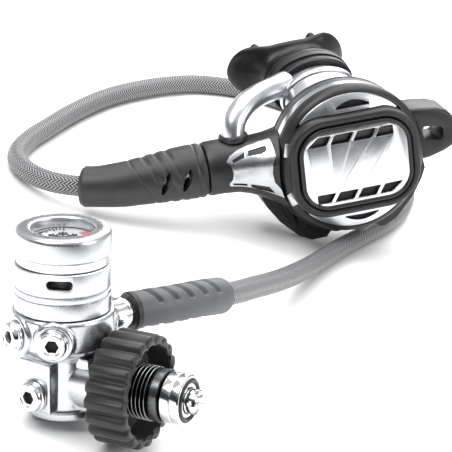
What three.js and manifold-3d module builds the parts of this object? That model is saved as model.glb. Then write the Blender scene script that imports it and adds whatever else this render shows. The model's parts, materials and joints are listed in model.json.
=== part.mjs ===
// Scuba regulator set: a DIN first stage, one low-pressure hose and a metal second stage.
// Millimetres, +Z up, standing on a table at z = 0. The first stage leans on its handwheel,
// the second stage stands on its exhaust cover, and the hose lies in one loop behind them.

import * as THREE from "three";
import { mergeVertices } from "three/addons/utils/BufferGeometryUtils.js";
import Module from "manifold-3d";

const wasm = await Module();
wasm.setup();

// ---------------------------------------------------------------- driving dimensions

const GAP = 0.3; // between pieces that touch
const FINE = 24; // sides of the large round pieces
const COARSE = 12; // sides of the small ones

// First stage: x runs out along the DIN inlet, z up the turret, from the middle of its foot.
const FOOT_RADIUS = 14.5;
const FOOT_HEIGHT = 4;
const FOOT_CHAMFER = 0.6;
const TURRET_RADIUS = 20;
const BODY_TOP = 45.5;
const CAP_TOP = 80;
const PORT_HEIGHT = 37.2;
const PORT_FACE = 22.3; // from the turret's axis to the flat of a low-pressure port
const PORT_BORE = 5;
const HP_HEIGHT = 12;
const HP_FACE = 18.6;
const DIN_HEIGHT = 15.5;
const WHEEL_RADIUS = 24;
const WHEEL_START = 22.4;
const WHEEL_END = 41.3;
const WHEEL_LOBES = 20;
const THREAD_RADIUS = 11.45; // G 5/8
const THREAD_PITCH = 1.814;
const SHAFT_RADIUS = 7.8;
const NOSE_RADIUS = 10.7;
const NOSE_START = 49.9;
const NOSE_END = 58.7;
const LOW_PRESSURE_PLUGS = {
  low_pressure_plug_front: -70,
  low_pressure_plug_left: -119,
  low_pressure_plug_rear: 112,
};
const HIGH_PRESSURE_PLUGS = { high_pressure_plug_front: -100, high_pressure_plug_rear: 100 };
const HOSE_PORT = 61;

// Second stage: x runs along the valve from hose to end cap, y back to the diver, z up,
// from the middle of the cover's rim.
const RIM_RADIUS = 39.1;
const CASE_RADIUS = 38.3;
const CASE_WALL = 2;
const CASE_FRONT = 2.8;
const CASE_SPLIT = 16.5;
const CONE_NORMAL = Math.PI + Math.atan2(0.508, 0.862); // turns z to face out from the case's cone, below
const VALVE_Y = 12;
const VALVE_Z = 4.1;
const BARREL_RADIUS = 7;
const BARREL_BORE = 4.6;
const BARREL_START = -70;
const BARREL_END = 36;
const PLATE_WIDTH = 55;
const PLATE_HEIGHT = 39;
const PLATE_Y = -12.6;
const BYPASS_RADIUS = 6.1;
const EXHAUST_FRONT = 16;
const MOUTH = [-5, 46, 28];
const MOUTH_TILT = 14;
const MOUTH_YAW = 6;

// Hose
const HOSE_RADIUS = 5.25;
const PROTECTOR_LENGTH = 55;
const HOSE_PASSAGE = [205, 300]; // the hose's stretch under the exhaust, from its start
const PASSAGE_ROOM = 3.2; // lets the second stage swivel 5 degrees each way above the hose

// Where the two stages stand, from the middle of the first stage's foot
const FOOTPRINT_MIDDLE = [70.69, 142.06]; // moved to the origin
const LEAN = Math.atan2(WHEEL_RADIUS - DIN_HEIGHT, WHEEL_START + FOOT_RADIUS - FOOT_CHAMFER);
const FIRST_STAGE_AT = [0, 0, (FOOT_RADIUS - FOOT_CHAMFER) * Math.sin(LEAN)];
const FIRST_STAGE_YAW = -26.7;
const SECOND_STAGE_AT = [123.4, 233.5, 52.5];
const SECOND_STAGE_YAW = 12.9;
const SECOND_STAGE_LEAN = -7.1;
const SECOND_STAGE_ROLL = 18.2;

// The hose's centre line from the first stage's fitting to the second's, chosen by hand.
const HOSE_ROUTE = [
  [18.2, 21.8, 42.9],
  [26.6, 27.7, 44],
  [34.8, 33.4, 44.5],
  [49, 46.6, 44.4],
  [59, 60.5, 41.4],
  [67.5, 78, 36.6],
  [76, 99, 30.6],
  [85, 121, 24.2],
  [94.5, 144.5, 17.9],
  [104, 168.5, 12.2],
  [113.5, 191.5, 7.9],
  [123.5, 213.5, 5.8],
  [134.5, 233.5, 5.3],
  [146, 252.5, 5.3],
  [158, 274, 5.3],
  [168, 299, 5.3],
  [172.5, 327, 5.3],
  [170, 356, 5.3],
  [159, 384, 5.3],
  [139, 409, 5.3],
  [111, 427.5, 5.3],
  [80, 435.5, 5.3],
  [53, 429, 5.3],
  [33.5, 414.5, 5.3],
  [15.5, 395, 5.3],
  [-1.5, 371, 5.3],
  [-17, 340, 5.3],
  [-30, 307, 5.3],
  [-39.5, 280, 5.3],
  [-43, 261, 5.3],
  [-41.2, 247, 5.7],
  [-33.4, 232.3, 7.3],
  [-20.2, 220.6, 10.2],
  [-3, 215.2, 14.4],
  [13.9, 216.6, 19.2],
  [18.9, 217.9, 20.9],
  [24, 219.3, 22.6],
];
const hoseCurve = new THREE.CatmullRomCurve3(HOSE_ROUTE.map((point) => new THREE.Vector3(...point)));

// ---------------------------------------------------------------- finishes

const SATIN_METAL = { color: 0xc9cbce, roughness: 0.28, metalness: 1 };
const BRIGHT_METAL = { color: 0xe2e3e4, roughness: 0.15, metalness: 1 };
const BRASS = { color: 0xb5a46a, roughness: 0.35, metalness: 1 };
const SPRING_STEEL = { color: 0x9a9c9e, roughness: 0.3, metalness: 1 };
const BLACK_PLASTIC = { color: 0x1b1b1c, roughness: 0.45, metalness: 0 };
const GREY_PLASTIC = { color: 0x3b3c3e, roughness: 0.5, metalness: 0 };
const BLACK_RUBBER = { color: 0x161617, roughness: 0.7, metalness: 0 };
const GREY_RUBBER = { color: 0x515356, roughness: 0.65, metalness: 0 };
const PALE_SILICONE = { color: 0xd9dcdc, roughness: 0.4, metalness: 0 };

// ---------------------------------------------------------------- solids

const radians = THREE.MathUtils.degToRad;

/** A closed three.js geometry as a solid that can be cut and joined. */
function solid(geometry) {
  const bare = geometry.clone();
  bare.deleteAttribute("normal");
  bare.deleteAttribute("uv");
  const merged = mergeVertices(bare, 1e-3);
  const corners = merged.index.array;
  const kept = [];
  for (let i = 0; i < corners.length; i += 3) {
    const [a, b, c] = [corners[i], corners[i + 1], corners[i + 2]];
    if (a !== b && b !== c && c !== a) {
      kept.push(a, b, c);
    }
  }
  return new wasm.Manifold(
    new wasm.Mesh({
      numProp: 3,
      vertProperties: new Float32Array(merged.attributes.position.array),
      triVerts: new Uint32Array(kept),
    }),
  );
}

/** A solid back as a three.js geometry. */
function surface(body) {
  const mesh = body.getMesh();
  const geometry = new THREE.BufferGeometry();
  geometry.setAttribute("position", new THREE.BufferAttribute(mesh.vertProperties, 3));
  geometry.setIndex(new THREE.BufferAttribute(mesh.triVerts, 1));
  return geometry;
}

const join = (first, ...others) => others.reduce((sum, other) => sum.add(other), first);
const cut = (first, ...others) => others.reduce((rest, other) => rest.subtract(other), first);

/** Add a shape, a geometry or a solid, to a group as a named mesh. */
function place(group, name, shape, finish) {
  const geometry = shape.isBufferGeometry ? shape : surface(shape);
  const mesh = new THREE.Mesh(geometry, new THREE.MeshStandardMaterial({ ...finish, flatShading: true }));
  mesh.name = name;
  group.add(mesh);
}

/** A solid of revolution about z from [radius, height] points. */
function turned(profile, sides = FINE) {
  const points = profile.map(([radius, height]) => new THREE.Vector2(radius, height));
  return new THREE.LatheGeometry(points, sides).rotateX(Math.PI / 2);
}

/** A ring about z: the profile closes on itself. */
const ring = (profile, sides = FINE) => turned([...profile, profile[0]], sides);

/** A cylinder about z between two heights. */
function rod(radius, from, to, sides = COARSE) {
  const cylinder = new THREE.CylinderGeometry(radius, radius, to - from, sides);
  return cylinder.rotateX(Math.PI / 2).translate(0, 0, (from + to) / 2);
}

const alongX = (geometry) => geometry.rotateY(Math.PI / 2);
const alongY = (geometry) => geometry.rotateX(-Math.PI / 2);
const box = (x, y, z, at) => new THREE.BoxGeometry(x, y, z).translate(...at);

/** A wire of round section along a curve. */
function wire(curve, radius, sides, steps, bore = 0) {
  const section = new THREE.Shape().absarc(0, 0, radius, 0, 2 * Math.PI);
  if (bore > 0) {
    section.holes.push(new THREE.Path().absarc(0, 0, bore, 0, 2 * Math.PI, true));
  }
  const options = { extrudePath: curve, steps, curveSegments: sides / 2, bevelEnabled: false };
  return new THREE.ExtrudeGeometry(section, options);
}

/** A stretch of another curve, between two lengths measured from its start. */
class Stretch extends THREE.Curve {
  constructor(whole, from, to) {
    super();
    Object.assign(this, { whole, from, to, length: whole.getLength() });
  }

  getPoint(t, target) {
    return this.whole.getPointAt((this.from + (this.to - this.from) * t) / this.length, target);
  }
}

/** A compression spring about z. */
class Coil extends THREE.Curve {
  constructor(radius, from, to, turns) {
    super();
    Object.assign(this, { radius, from, to, turns });
  }

  getPoint(t, target = new THREE.Vector3()) {
    const angle = 2 * Math.PI * this.turns * t;
    const height = this.from + (this.to - this.from) * t;
    return target.set(this.radius * Math.cos(angle), this.radius * Math.sin(angle), height);
  }
}

/** A flat outline in x and z, drawn as [x, z] points, with its thickness along y. */
function slab(outline, from, to, bevel = 0) {
  const shape = new THREE.Shape(outline.map(([x, z]) => new THREE.Vector2(x, z)));
  const options = {
    depth: to - from - 2 * bevel,
    bevelEnabled: bevel > 0,
    bevelSize: bevel,
    bevelThickness: bevel,
    bevelOffset: -bevel,
    bevelSegments: 2,
  };
  return new THREE.ExtrudeGeometry(shape, options).rotateX(Math.PI / 2).translate(0, to - bevel, 0);
}

/** Points round a rectangle with round corners, in order. */
function roundedOutline(width, height, corner, steps = 4, [x, z] = [0, 0]) {
  const points = [];
  for (let quarter = 0; quarter < 4; quarter += 1) {
    const side = quarter === 0 || quarter === 3 ? 1 : -1;
    const level = quarter < 2 ? 1 : -1;
    for (let i = 0; i <= steps; i += 1) {
      const angle = ((quarter + i / steps) * Math.PI) / 2;
      points.push([
        x + side * (width / 2 - corner) + corner * Math.cos(angle),
        z + level * (height / 2 - corner) + corner * Math.sin(angle),
      ]);
    }
  }
  return points;
}

/** An arc as [x, z] points, from one angle to another in degrees. */
function arc(radius, from, to, steps) {
  return Array.from({ length: steps + 1 }, (_, i) => {
    const angle = radians(from + ((to - from) * i) / steps);
    return [radius * Math.cos(angle), radius * Math.sin(angle)];
  });
}

// ---------------------------------------------------------------- first stage

const firstStage = new THREE.Group();
firstStage.rotation.set(0, -LEAN, radians(FIRST_STAGE_YAW), "ZYX");
firstStage.position.set(...FIRST_STAGE_AT);

/** Turn a piece made along z so that it points out of the turret at an angle and height. */
const radial = (geometry, angle, height) =>
  alongX(geometry).rotateZ(radians(angle)).translate(0, 0, height);

/** Bring a piece made along z onto the DIN inlet's axis. */
const inlet = (geometry) => alongX(geometry).translate(0, 0, DIN_HEIGHT);

function firstStageBody() {
  const blank = turned([
    [0, FOOT_HEIGHT + GAP],
    [16, FOOT_HEIGHT + GAP],
    [17, 5.3],
    [17, 25.5],
    [15.8, 27],
    [15.8, 28.5],
    [21.5, 30],
    [21.5, BODY_TOP - 0.8],
    [20.7, BODY_TOP],
    [0, BODY_TOP],
  ]);
  const lowPressureAngles = [HOSE_PORT, ...Object.values(LOW_PRESSURE_PLUGS)];
  const highPressureAngles = Object.values(HIGH_PRESSURE_PLUGS);
  const bosses = [
    inlet(rod(13, 8, 21.6, FINE)),
    ...lowPressureAngles.map((angle) => radial(rod(7.6, 12, PORT_FACE), angle, PORT_HEIGHT)),
    ...highPressureAngles.map((angle) => radial(rod(7.4, 10, HP_FACE), angle, HP_HEIGHT)),
  ];
  const hollows = [
    rod(8, 0, 24), // high-pressure chamber
    rod(2.2, 23, 31), // seat
    rod(14, 30.5, BODY_TOP + 1, FINE), // intermediate-pressure chamber
    inlet(rod(6, 1, 23)),
    rod(FOOT_RADIUS + GAP, -1, FOOT_HEIGHT + GAP, FINE),
    ...lowPressureAngles.map((angle) => radial(rod(PORT_BORE, 10, 25), angle, PORT_HEIGHT)),
    ...highPressureAngles.map((angle) => radial(rod(4.5, 5, 22), angle, HP_HEIGHT)),
  ];
  return cut(join(solid(blank), ...bosses.map(solid)), ...hollows.map(solid));
}

function basePlug() {
  const plug = turned([
    [0, 0],
    [FOOT_RADIUS - FOOT_CHAMFER, 0],
    [FOOT_RADIUS, FOOT_CHAMFER],
    [FOOT_RADIUS, FOOT_HEIGHT - FOOT_CHAMFER],
    [FOOT_RADIUS - FOOT_CHAMFER, FOOT_HEIGHT],
    [7.7, FOOT_HEIGHT],
    [7.7, 10],
    [0, 10],
  ]);
  return cut(solid(plug), solid(rod(4.6, -1, 3, 6)));
}

/** Springs, pads and seats that stand on the turret's axis, from the seat up to the cap. */
function turretStack() {
  const stemAndSeat = [[0, 12.5], [3.4, 12.5], [3.4, 19.2], [6.4, 19.2]];
  const poppet = turned([...stemAndSeat, [6.4, 20.4], [3.4, 20.4], [3.4, 23.7], [0, 23.7]], COARSE);
  place(firstStage, "high_pressure_poppet", poppet, BLACK_PLASTIC);
  place(firstStage, "high_pressure_spring", wire(new Coil(5.4, 10.9, 17.7, 3.5), 0.5, 4, 36), SPRING_STEEL);
  const pin = turned([[0, 24], [1.4, 24], [1.4, 43.8], [8, 43.8], [8, 45.2], [0, 45.2]], COARSE);
  place(firstStage, "valve_pin", pin, BRIGHT_METAL);
  place(firstStage, "main_diaphragm", rod(17, BODY_TOP + GAP, 46.9, FINE), BLACK_RUBBER);
  const pad = turned([[0, 47.3], [14, 47.3], [14, 48.2], [9, 49.4], [0, 49.4]], COARSE);
  place(firstStage, "diaphragm_pad", pad, SATIN_METAL);
  place(firstStage, "main_spring", wire(new Coil(10.5, 51.2, 60.6, 3.5), 1.4, 6, 36), SPRING_STEEL);
  const adjuster = ring([[6, 62.4], [15.3, 62.4], [15.3, 66.6], [6, 66.6]]);
  const spannerSlots = box(26, 3, 3, [0, 0, 66.6]);
  place(firstStage, "spring_adjuster", cut(solid(adjuster), solid(spannerSlots)), BRASS);
  const loadPlate = turned([[0, 49.8], [3.6, 49.8], [3.6, 71], [13, 71], [13, 72.6], [0, 72.6]], COARSE);
  place(firstStage, "load_plate", loadPlate, BLACK_PLASTIC);
  place(firstStage, "outer_diaphragm", rod(14.7, 73.8, 75.2, FINE), PALE_SILICONE);
}

function springHousing() {
  const bore = 15.6;
  const tube = ring([
    [17.3, 45.8],
    [19.4, 45.8],
    [19.4, 52.6],
    [18.6, 52.9],
    [18.6, 53.5],
    [TURRET_RADIUS, 53.8],
    [TURRET_RADIUS, 55.2],
    [18.6, 55.5],
    [18.6, 56.1],
    [TURRET_RADIUS, 56.4],
    [TURRET_RADIUS, 65.4],
    [bore, 65.4],
    [bore, 47.2],
    [17.3, 47.2],
  ]);
  const slotLength = 10.8;
  const slotHeight = 4;
  const slots = [-64, 56, 176].map((angle) => {
    const outline = roundedOutline(slotLength, slotHeight, 1.99, 3);
    return slab(outline, -23, -12).rotateZ(radians(angle + 90)).translate(0, 0, 61.4);
  });
  return cut(solid(tube), ...slots.map(solid));
}

function endCap() {
  return ring([
    [15.6, 65.7],
    [19.2, 65.7],
    [19.2, 69.9],
    [TURRET_RADIUS, 70.4],
    [TURRET_RADIUS, CAP_TOP - 1],
    [19, CAP_TOP],
    [13.3, CAP_TOP],
    [12.5, CAP_TOP - 0.8],
    [12.5, 75.5],
    [15, 75.5],
    [15, 73.5],
    [14, 73.5],
    [14, 70.5],
    [15.6, 70.5],
  ]);
}

/** A port plug: a threaded stem, a washer step and a head with a hexagon socket. */
function portPlug(face, stem, washer, head, angle, height) {
  const plug = turned(
    [
      [0, face - 6],
      [stem, face - 6],
      [stem, face + GAP],
      [washer, face + GAP],
      [washer, face + 1.8],
      [head, face + 1.8],
      [head, face + 3.6],
      [head - 0.6, face + 4.2],
      [0, face + 4.2],
    ],
    COARSE,
  );
  const socket = rod(3, face + 1.2, face + 5, 6);
  return radial(surface(cut(solid(plug), solid(socket))), angle, height);
}

function dinRetainer() {
  const bore = 2.6;
  const pocket = 5.6;
  return ring([
    [bore, 9],
    [5.7, 9],
    [5.7, 22],
    [SHAFT_RADIUS, 22],
    [SHAFT_RADIUS, NOSE_START],
    [NOSE_RADIUS - 0.4, NOSE_START],
    [NOSE_RADIUS, NOSE_START + 0.5],
    [NOSE_RADIUS, NOSE_END - 0.5],
    [NOSE_RADIUS - 0.5, NOSE_END],
    [9.2, NOSE_END],
    [9.2, 57.5],
    [7.2, 57.5],
    [7.2, NOSE_END],
    [pocket, NOSE_END],
    [pocket, 53],
    [bore, 53],
  ]);
}

/** The sleeve that screws into the cylinder valve: a hub, the thread's ridges and a plain collar. */
function threadedSleeve() {
  const bore = SHAFT_RADIUS + GAP;
  const root = THREAD_RADIUS - 1.1;
  const threadStart = 30;
  const ridges = 8;
  const profile = [[bore, 22.6], [11.1, 22.6], [11.1, 29.4], [root, threadStart]];
  for (let turn = 0; turn < ridges; turn += 1) {
    const start = threadStart + turn * THREAD_PITCH;
    profile.push([THREAD_RADIUS, start + 0.7 * THREAD_PITCH]);
    profile.push([root, start + THREAD_PITCH]);
  }
  profile.push([11.1, 45.2], [11.1, 49.5], [bore, 49.5]);
  return ring(profile, 24);
}

function handwheel() {
  const lobeDepth = 1.6;
  const pointsPerLobe = 4;
  const count = WHEEL_LOBES * pointsPerLobe;
  const outline = Array.from({ length: count }, (_, i) => {
    const angle = (2 * Math.PI * i) / count;
    const radius = WHEEL_RADIUS - (lobeDepth * (1 - Math.cos(WHEEL_LOBES * angle))) / 2;
    return new THREE.Vector2(radius * Math.cos(angle), radius * Math.sin(angle));
  });
  const length = WHEEL_END - WHEEL_START;
  const blank = new THREE.ExtrudeGeometry(new THREE.Shape(outline), { depth: length, bevelEnabled: false });
  const bowl = rod(19.6, 29.6, WHEEL_END + 1, FINE);
  const bore = rod(11.4, WHEEL_START - 1, 31, FINE);
  return cut(solid(blank.translate(0, 0, WHEEL_START)), solid(bowl), solid(bore));
}

/** The hose's metal end at the first stage. */
function firstFitting() {
  const bore = 2.5;
  const stemProfile = [[bore, 16], [4.7, 16], [4.7, 22.6], [6.6, 22.6], [6.6, 28], [6.1, 28], [6.1, 31.2]];
  const stem = ring([...stemProfile, [bore, 31.2]], COARSE);
  const hexagon = rod(7.6, 22.6, 27.8, 6);
  return cut(join(solid(stem), solid(hexagon)), solid(rod(bore, 15, 32)));
}

place(firstStage, "first_stage_body", firstStageBody(), SATIN_METAL);
place(firstStage, "base_plug", basePlug(), SATIN_METAL);
turretStack();
place(firstStage, "spring_housing", springHousing(), SATIN_METAL);
place(firstStage, "end_cap", endCap(), SATIN_METAL);
for (const [name, angle] of Object.entries(LOW_PRESSURE_PLUGS)) {
  place(firstStage, name, portPlug(PORT_FACE, 4.7, 6.4, 5.6, angle, PORT_HEIGHT), BRIGHT_METAL);
}
for (const [name, angle] of Object.entries(HIGH_PRESSURE_PLUGS)) {
  place(firstStage, name, portPlug(HP_FACE, 4.2, 6.8, 6, angle, HP_HEIGHT), BRIGHT_METAL);
}
place(firstStage, "din_retainer", inlet(dinRetainer()), BRIGHT_METAL);
place(firstStage, "inlet_filter", inlet(rod(5.3, 53.3, 57)), BRASS);
const filterClip = ring([[1.6, 57.3], [5.2, 57.3], [5.2, 63], [4.7, 63.5], [1.6, 63.5]], COARSE);
const slottedClip = cut(solid(filterClip), solid(box(12, 1.4, 3, [0, 0, 63.5])));
place(firstStage, "filter_retainer", inlet(surface(slottedClip)), BRIGHT_METAL);
const sealSection = Array.from({ length: 8 }, (_, i) => {
  const angle = (Math.PI * i) / 4;
  return [8.2 + 0.8 * Math.cos(angle), 58.7 + 0.8 * Math.sin(angle)];
});
place(firstStage, "din_o_ring", inlet(ring(sealSection, 24)), BLACK_RUBBER);
place(firstStage, "din_threaded_sleeve", inlet(threadedSleeve()), GREY_PLASTIC);
place(firstStage, "handwheel", inlet(surface(handwheel())), BLACK_RUBBER);
const hoseFitting = radial(surface(firstFitting()), HOSE_PORT, PORT_HEIGHT);
place(firstStage, "first_hose_fitting", hoseFitting, BRIGHT_METAL);

// ---------------------------------------------------------------- second stage

const secondStage = new THREE.Group();
const lean = radians(SECOND_STAGE_LEAN);
const roll = radians(-SECOND_STAGE_ROLL);
secondStage.rotation.set(lean, roll, radians(SECOND_STAGE_YAW), "ZXY");
secondStage.position.set(...SECOND_STAGE_AT);

/** Bring a piece made along z onto the valve's axis, with its heights as distances along x. */
const onValve = (geometry) => alongX(geometry).translate(0, VALVE_Y, VALVE_Z);

/** Bring a piece made along y onto the mouthpiece tube's tilted axis. */
const atMouth = (geometry) =>
  geometry.rotateX(radians(MOUTH_TILT)).rotateZ(radians(MOUTH_YAW)).translate(...MOUTH);

/** An oval bar along y, for the mouthpiece and its tube. */
const oval = (width, height, from, to, sides = 24) =>
  alongY(rod(1, from, to, sides)).scale(width / 2, 1, height / 2);

/** The case's outside, filled and grown, to cut its neighbours clear of it. */
const caseEnvelope = (grow) =>
  solid(
    alongY(
      turned([
        [0, -30],
        [RIM_RADIUS + grow, -30],
        [RIM_RADIUS + grow, CASE_FRONT],
        [CASE_RADIUS + grow, CASE_FRONT],
        [CASE_RADIUS + grow, 18],
        [33 + grow, 27],
        [24 + grow, 33 + grow],
        [0, 34.5 + grow],
      ]),
    ),
  );

const barrelHole = () => solid(onValve(rod(BARREL_RADIUS + GAP, -60, 60)));

function caseBand() {
  const inside = CASE_RADIUS - CASE_WALL;
  const band = ring([
    [inside, CASE_FRONT],
    [CASE_RADIUS, CASE_FRONT],
    [CASE_RADIUS, CASE_SPLIT],
    [inside, CASE_SPLIT],
  ]);
  return cut(solid(alongY(band)), barrelHole());
}

/** Ports of the exhaust valve and the mouthpiece tube, and the valve barrel's holes, open it up. */
function caseBack() {
  const shell = ring([
    [36.3, CASE_SPLIT + GAP],
    [CASE_RADIUS, CASE_SPLIT + GAP],
    [CASE_RADIUS, 18],
    [33, 27],
    [24, 33],
    [5, 34.3],
    [5, 32.2],
    [23, 31],
    [31.4, 25.6],
    [36.3, 17.4],
  ]);
  const cap = rod(6, 32.2, 34.3);
  const exhaustPort = solid(rod(3.6, 20, 45).rotateX(CONE_NORMAL).translate(0, 6, 3));
  const mouthPort = solid(atMouth(oval(34, 21, -40, 0)));
  return cut(join(solid(alongY(shell)), solid(alongY(cap))), barrelHole(), exhaustPort, mouthPort);
}

/** The metal tube from the case up to the mouthpiece. */
function mouthpieceTube() {
  return cut(solid(atMouth(oval(40, 27, -30, 7))), solid(atMouth(oval(36, 23, -31, 8))), caseEnvelope(GAP));
}

/** The cover's domed rim, open at the purge button and at the two crescent inserts. */
function coverRing() {
  const dome = turned([
    [0, -10.2],
    [18, -9.4],
    [29, -7.2],
    [37, -3.4],
    [RIM_RADIUS, -1.4],
    [RIM_RADIUS, 2.5],
    [36.2, 2.5],
    [35.5, -0.4],
    [28, -4.4],
    [18, -6.4],
    [0, -7.2],
  ]);
  const buttonOpening = slab(roundedOutline(60, 44, 15), -20, 5);
  const crescents = [1, -1].map((side) => slab(crescent(side, 0), -20, 5));
  return cut(solid(alongY(dome)), solid(buttonOpening), ...crescents.map(solid));
}

/** The outline of a crescent insert above (side 1) or below (side -1) the button. */
function crescent(side, shrink) {
  const radius = 35.2 - shrink;
  const flat = 24.4 + shrink;
  const tip = THREE.MathUtils.radToDeg(Math.asin((flat + 1) / radius));
  const outer = arc(radius, tip, 180 - tip, 8);
  const reach = outer[0][0];
  const outline = [...outer, [-reach, flat], [reach, flat]];
  return side > 0 ? outline : outline.map(([x, z]) => [x, -z]).reverse();
}

/** A slice of the dome that fills a crescent opening, with one oval vent. */
function crescentInsert(side) {
  const slice = ring([[18, -8.8], [29, -6.6], [36, -3.4], [36, -1.9], [29, -5.2], [18, -7.4]]);
  const vent = slab(roundedOutline(19, 3.4, 1.6, 3, [2, side * 29.8]), -20, 5);
  const outline = slab(crescent(side, GAP), -20, 5);
  return cut(solid(alongY(slice)).intersect(solid(outline)), solid(vent));
}

/** The purge button: a metal plate with a row of vents along its top and its bottom edge. */
function purgePlate() {
  const outline = roundedOutline(PLATE_WIDTH, PLATE_HEIGHT, 12);
  const plate = solid(slab(outline, PLATE_Y, PLATE_Y + 2.2, 0.5));
  const ventCount = 4;
  const vents = [];
  for (const side of [1, -1]) {
    for (let i = 0; i < ventCount; i += 1) {
      const middle = (i - (ventCount - 1) / 2) * 11.2;
      const z = side * (PLATE_HEIGHT / 2 - 4.4);
      const outlineOfVent = [
        [middle - 4.6, z - 2],
        [middle + 2.8, z - 2],
        [middle + 4.6, z + 2],
        [middle - 2.8, z + 2],
      ];
      vents.push(solid(slab(outlineOfVent, -20, 0)));
    }
  }
  return cut(plate, ...vents);
}

/** The button's dark rim, with a skirt that runs in the cover and a stem behind the plate. */
function purgeRim() {
  const outside = slab(roundedOutline(59.2, 43.2, 14.6), PLATE_Y + 1, -5.5, 0.8);
  const plateOutline = roundedOutline(PLATE_WIDTH + 2 * GAP, PLATE_HEIGHT + 2 * GAP, 12.3);
  const opening = slab(plateOutline, -20, PLATE_Y + 2.5);
  const hollow = slab(roundedOutline(50, 34, 10), PLATE_Y + 4.2, 0);
  const breather = [1, -1].map((side) => slab(roundedOutline(42, 5, 2, 2, [0, side * 13]), -20, 5));
  const stem = alongY(rod(4, PLATE_Y + 4, -0.7));
  return join(cut(solid(outside), solid(opening), solid(hollow), ...breather.map(solid)), solid(stem));
}

/** The convoluted diaphragm between cover and case; the plate in its middle works the lever. */
function diaphragms() {
  const front = [[16.6, 0], [28, 0], [29.5, 1.4], [31, 0], [35, 0.6]];
  const rear = [[35, 1.6], [30.6, 1.2], [29.5, 2.4], [28, 1], [16.6, 1]];
  const sheet = ring([...front, ...rear]);
  place(secondStage, "demand_diaphragm", alongY(sheet), PALE_SILICONE);
  place(secondStage, "diaphragm_plate", alongY(rod(16.2, -0.4, 0.6, 24)), BRIGHT_METAL);
}

/** The fork that the diaphragm tips: a tongue in front of the barrel and an arm on each side of it. */
function demandLever() {
  const across = 8.4;
  const flat = (outline, from, to) => slab(outline, from, to).rotateX(-Math.PI / 2).translate(0, 0, VALVE_Z);
  const tongue = flat([[-8, 0.9], [-6, 0.9], [6.6, 2.6], [6.6, 3.4], [-6, 1.7], [-8, 1.7]], -3, 3);
  const bridge = flat([[4.6, 2.4], [6.6, 2.6], [6.6, 3.4], [4.6, 3.2]], -across - 0.5, across + 0.5);
  const armOutline = [[4.6, 2.4], [6.6, 2.6], [15.4, 11], [15.4, 13], [12.6, 13]];
  const arms = [1, -1].map((side) =>
    flat(armOutline, side * across - 0.5, side * across + 0.5),
  );
  return join(solid(tongue), solid(bridge), ...arms.map(solid));
}

function valveTrain() {
  const barrel = ring([
    [BARREL_BORE, BARREL_START],
    [BARREL_RADIUS, BARREL_START],
    [BARREL_RADIUS, BARREL_END],
    [BARREL_BORE, BARREL_END],
  ], COARSE);
  place(secondStage, "valve_barrel", onValve(barrel), BRIGHT_METAL);
  const seat = ring([[2, -60], [4.3, -60], [4.3, -24], [2.6, -22], [2, -22]], COARSE);
  place(secondStage, "inlet_orifice", onValve(seat), BRASS);
  const poppet = turned([[0, -21.7], [4.2, -21.7], [4.2, 6], [2, 6], [2, 12], [0, 12]], COARSE);
  place(secondStage, "demand_poppet", onValve(poppet), BLACK_PLASTIC);
  const spring = wire(new Coil(3.2, 7.8, 22.6, 5), 0.4, 4, 44);
  place(secondStage, "poppet_spring", onValve(spring), SPRING_STEEL);
  const nut = cut(solid(rod(4.3, 23.4, 32)), solid(rod(1.8, 30, 34, 6)));
  place(secondStage, "spring_nut", onValve(surface(nut)), BRASS);
}

/** The shroud over the hose's end, turned about the valve's axis and flared against the case. */
const shroud = (grow) =>
  solid(
    onValve(
      turned([
        [0, -74],
        [13.6 + grow, -74],
        [14.1 + grow, -72],
        [14.3 + grow, -60],
        [16 + grow, -50],
        [19.5 + grow, -40],
        [22.5 + grow, -32],
        [0, -32],
      ]),
    ),
  );

const bypassCurve = new THREE.CatmullRomCurve3(
  [
    [-57, 12, 12.2],
    [-57, 12.4, 19],
    [-54.6, 14.6, 26],
    [-48, 19.6, 31],
    [-39, 26.5, 32.8],
    [-29.4, 34, 32.6],
    [-14, 43.5, 32],
  ].map((point) => new THREE.Vector3(...point)),
);
const bypass = (grow, bore) => solid(wire(bypassCurve, BYPASS_RADIUS + grow, 12, 12, bore));

function inletShroud() {
  const bore = onValve(rod(BARREL_RADIUS + GAP, -80, 0));
  const pocket = box(24, 10, 18, [-52.6, VALVE_Y - 17, VALVE_Z + 0.4]);
  return cut(shroud(0), solid(bore), solid(pocket), bypass(GAP, 0), caseEnvelope(0.5));
}

/** The metal plate let into the front of the shroud, with its four windows. */
function shroudPlate() {
  const blank = box(24 - 2 * GAP, 4.4, 18 - 2 * GAP, [-52.6, VALVE_Y - 14.5, VALVE_Z + 0.4]);
  const windows = [];
  for (const x of [-58.5, -47.5]) {
    for (const z of [-4.6, 5.4]) {
      windows.push(solid(slab(roundedOutline(7.6, 2.8, 1, 2, [x, VALVE_Z + z]), -20, 5)));
    }
  }
  return cut(solid(blank).intersect(shroud(-0.6)), ...windows);
}

/** The tube that carries air past the lever, straight to the mouthpiece. */
function bypassTube() {
  const metalTube = atMouth(oval(40 + 2 * GAP, 27 + 2 * GAP, -40, 20));
  const sleeve = atMouth(oval(45 + 2 * GAP, 32 + 2 * GAP, -4.7, 22));
  return cut(bypass(0, 4.6), solid(metalTube), solid(sleeve));
}

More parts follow.
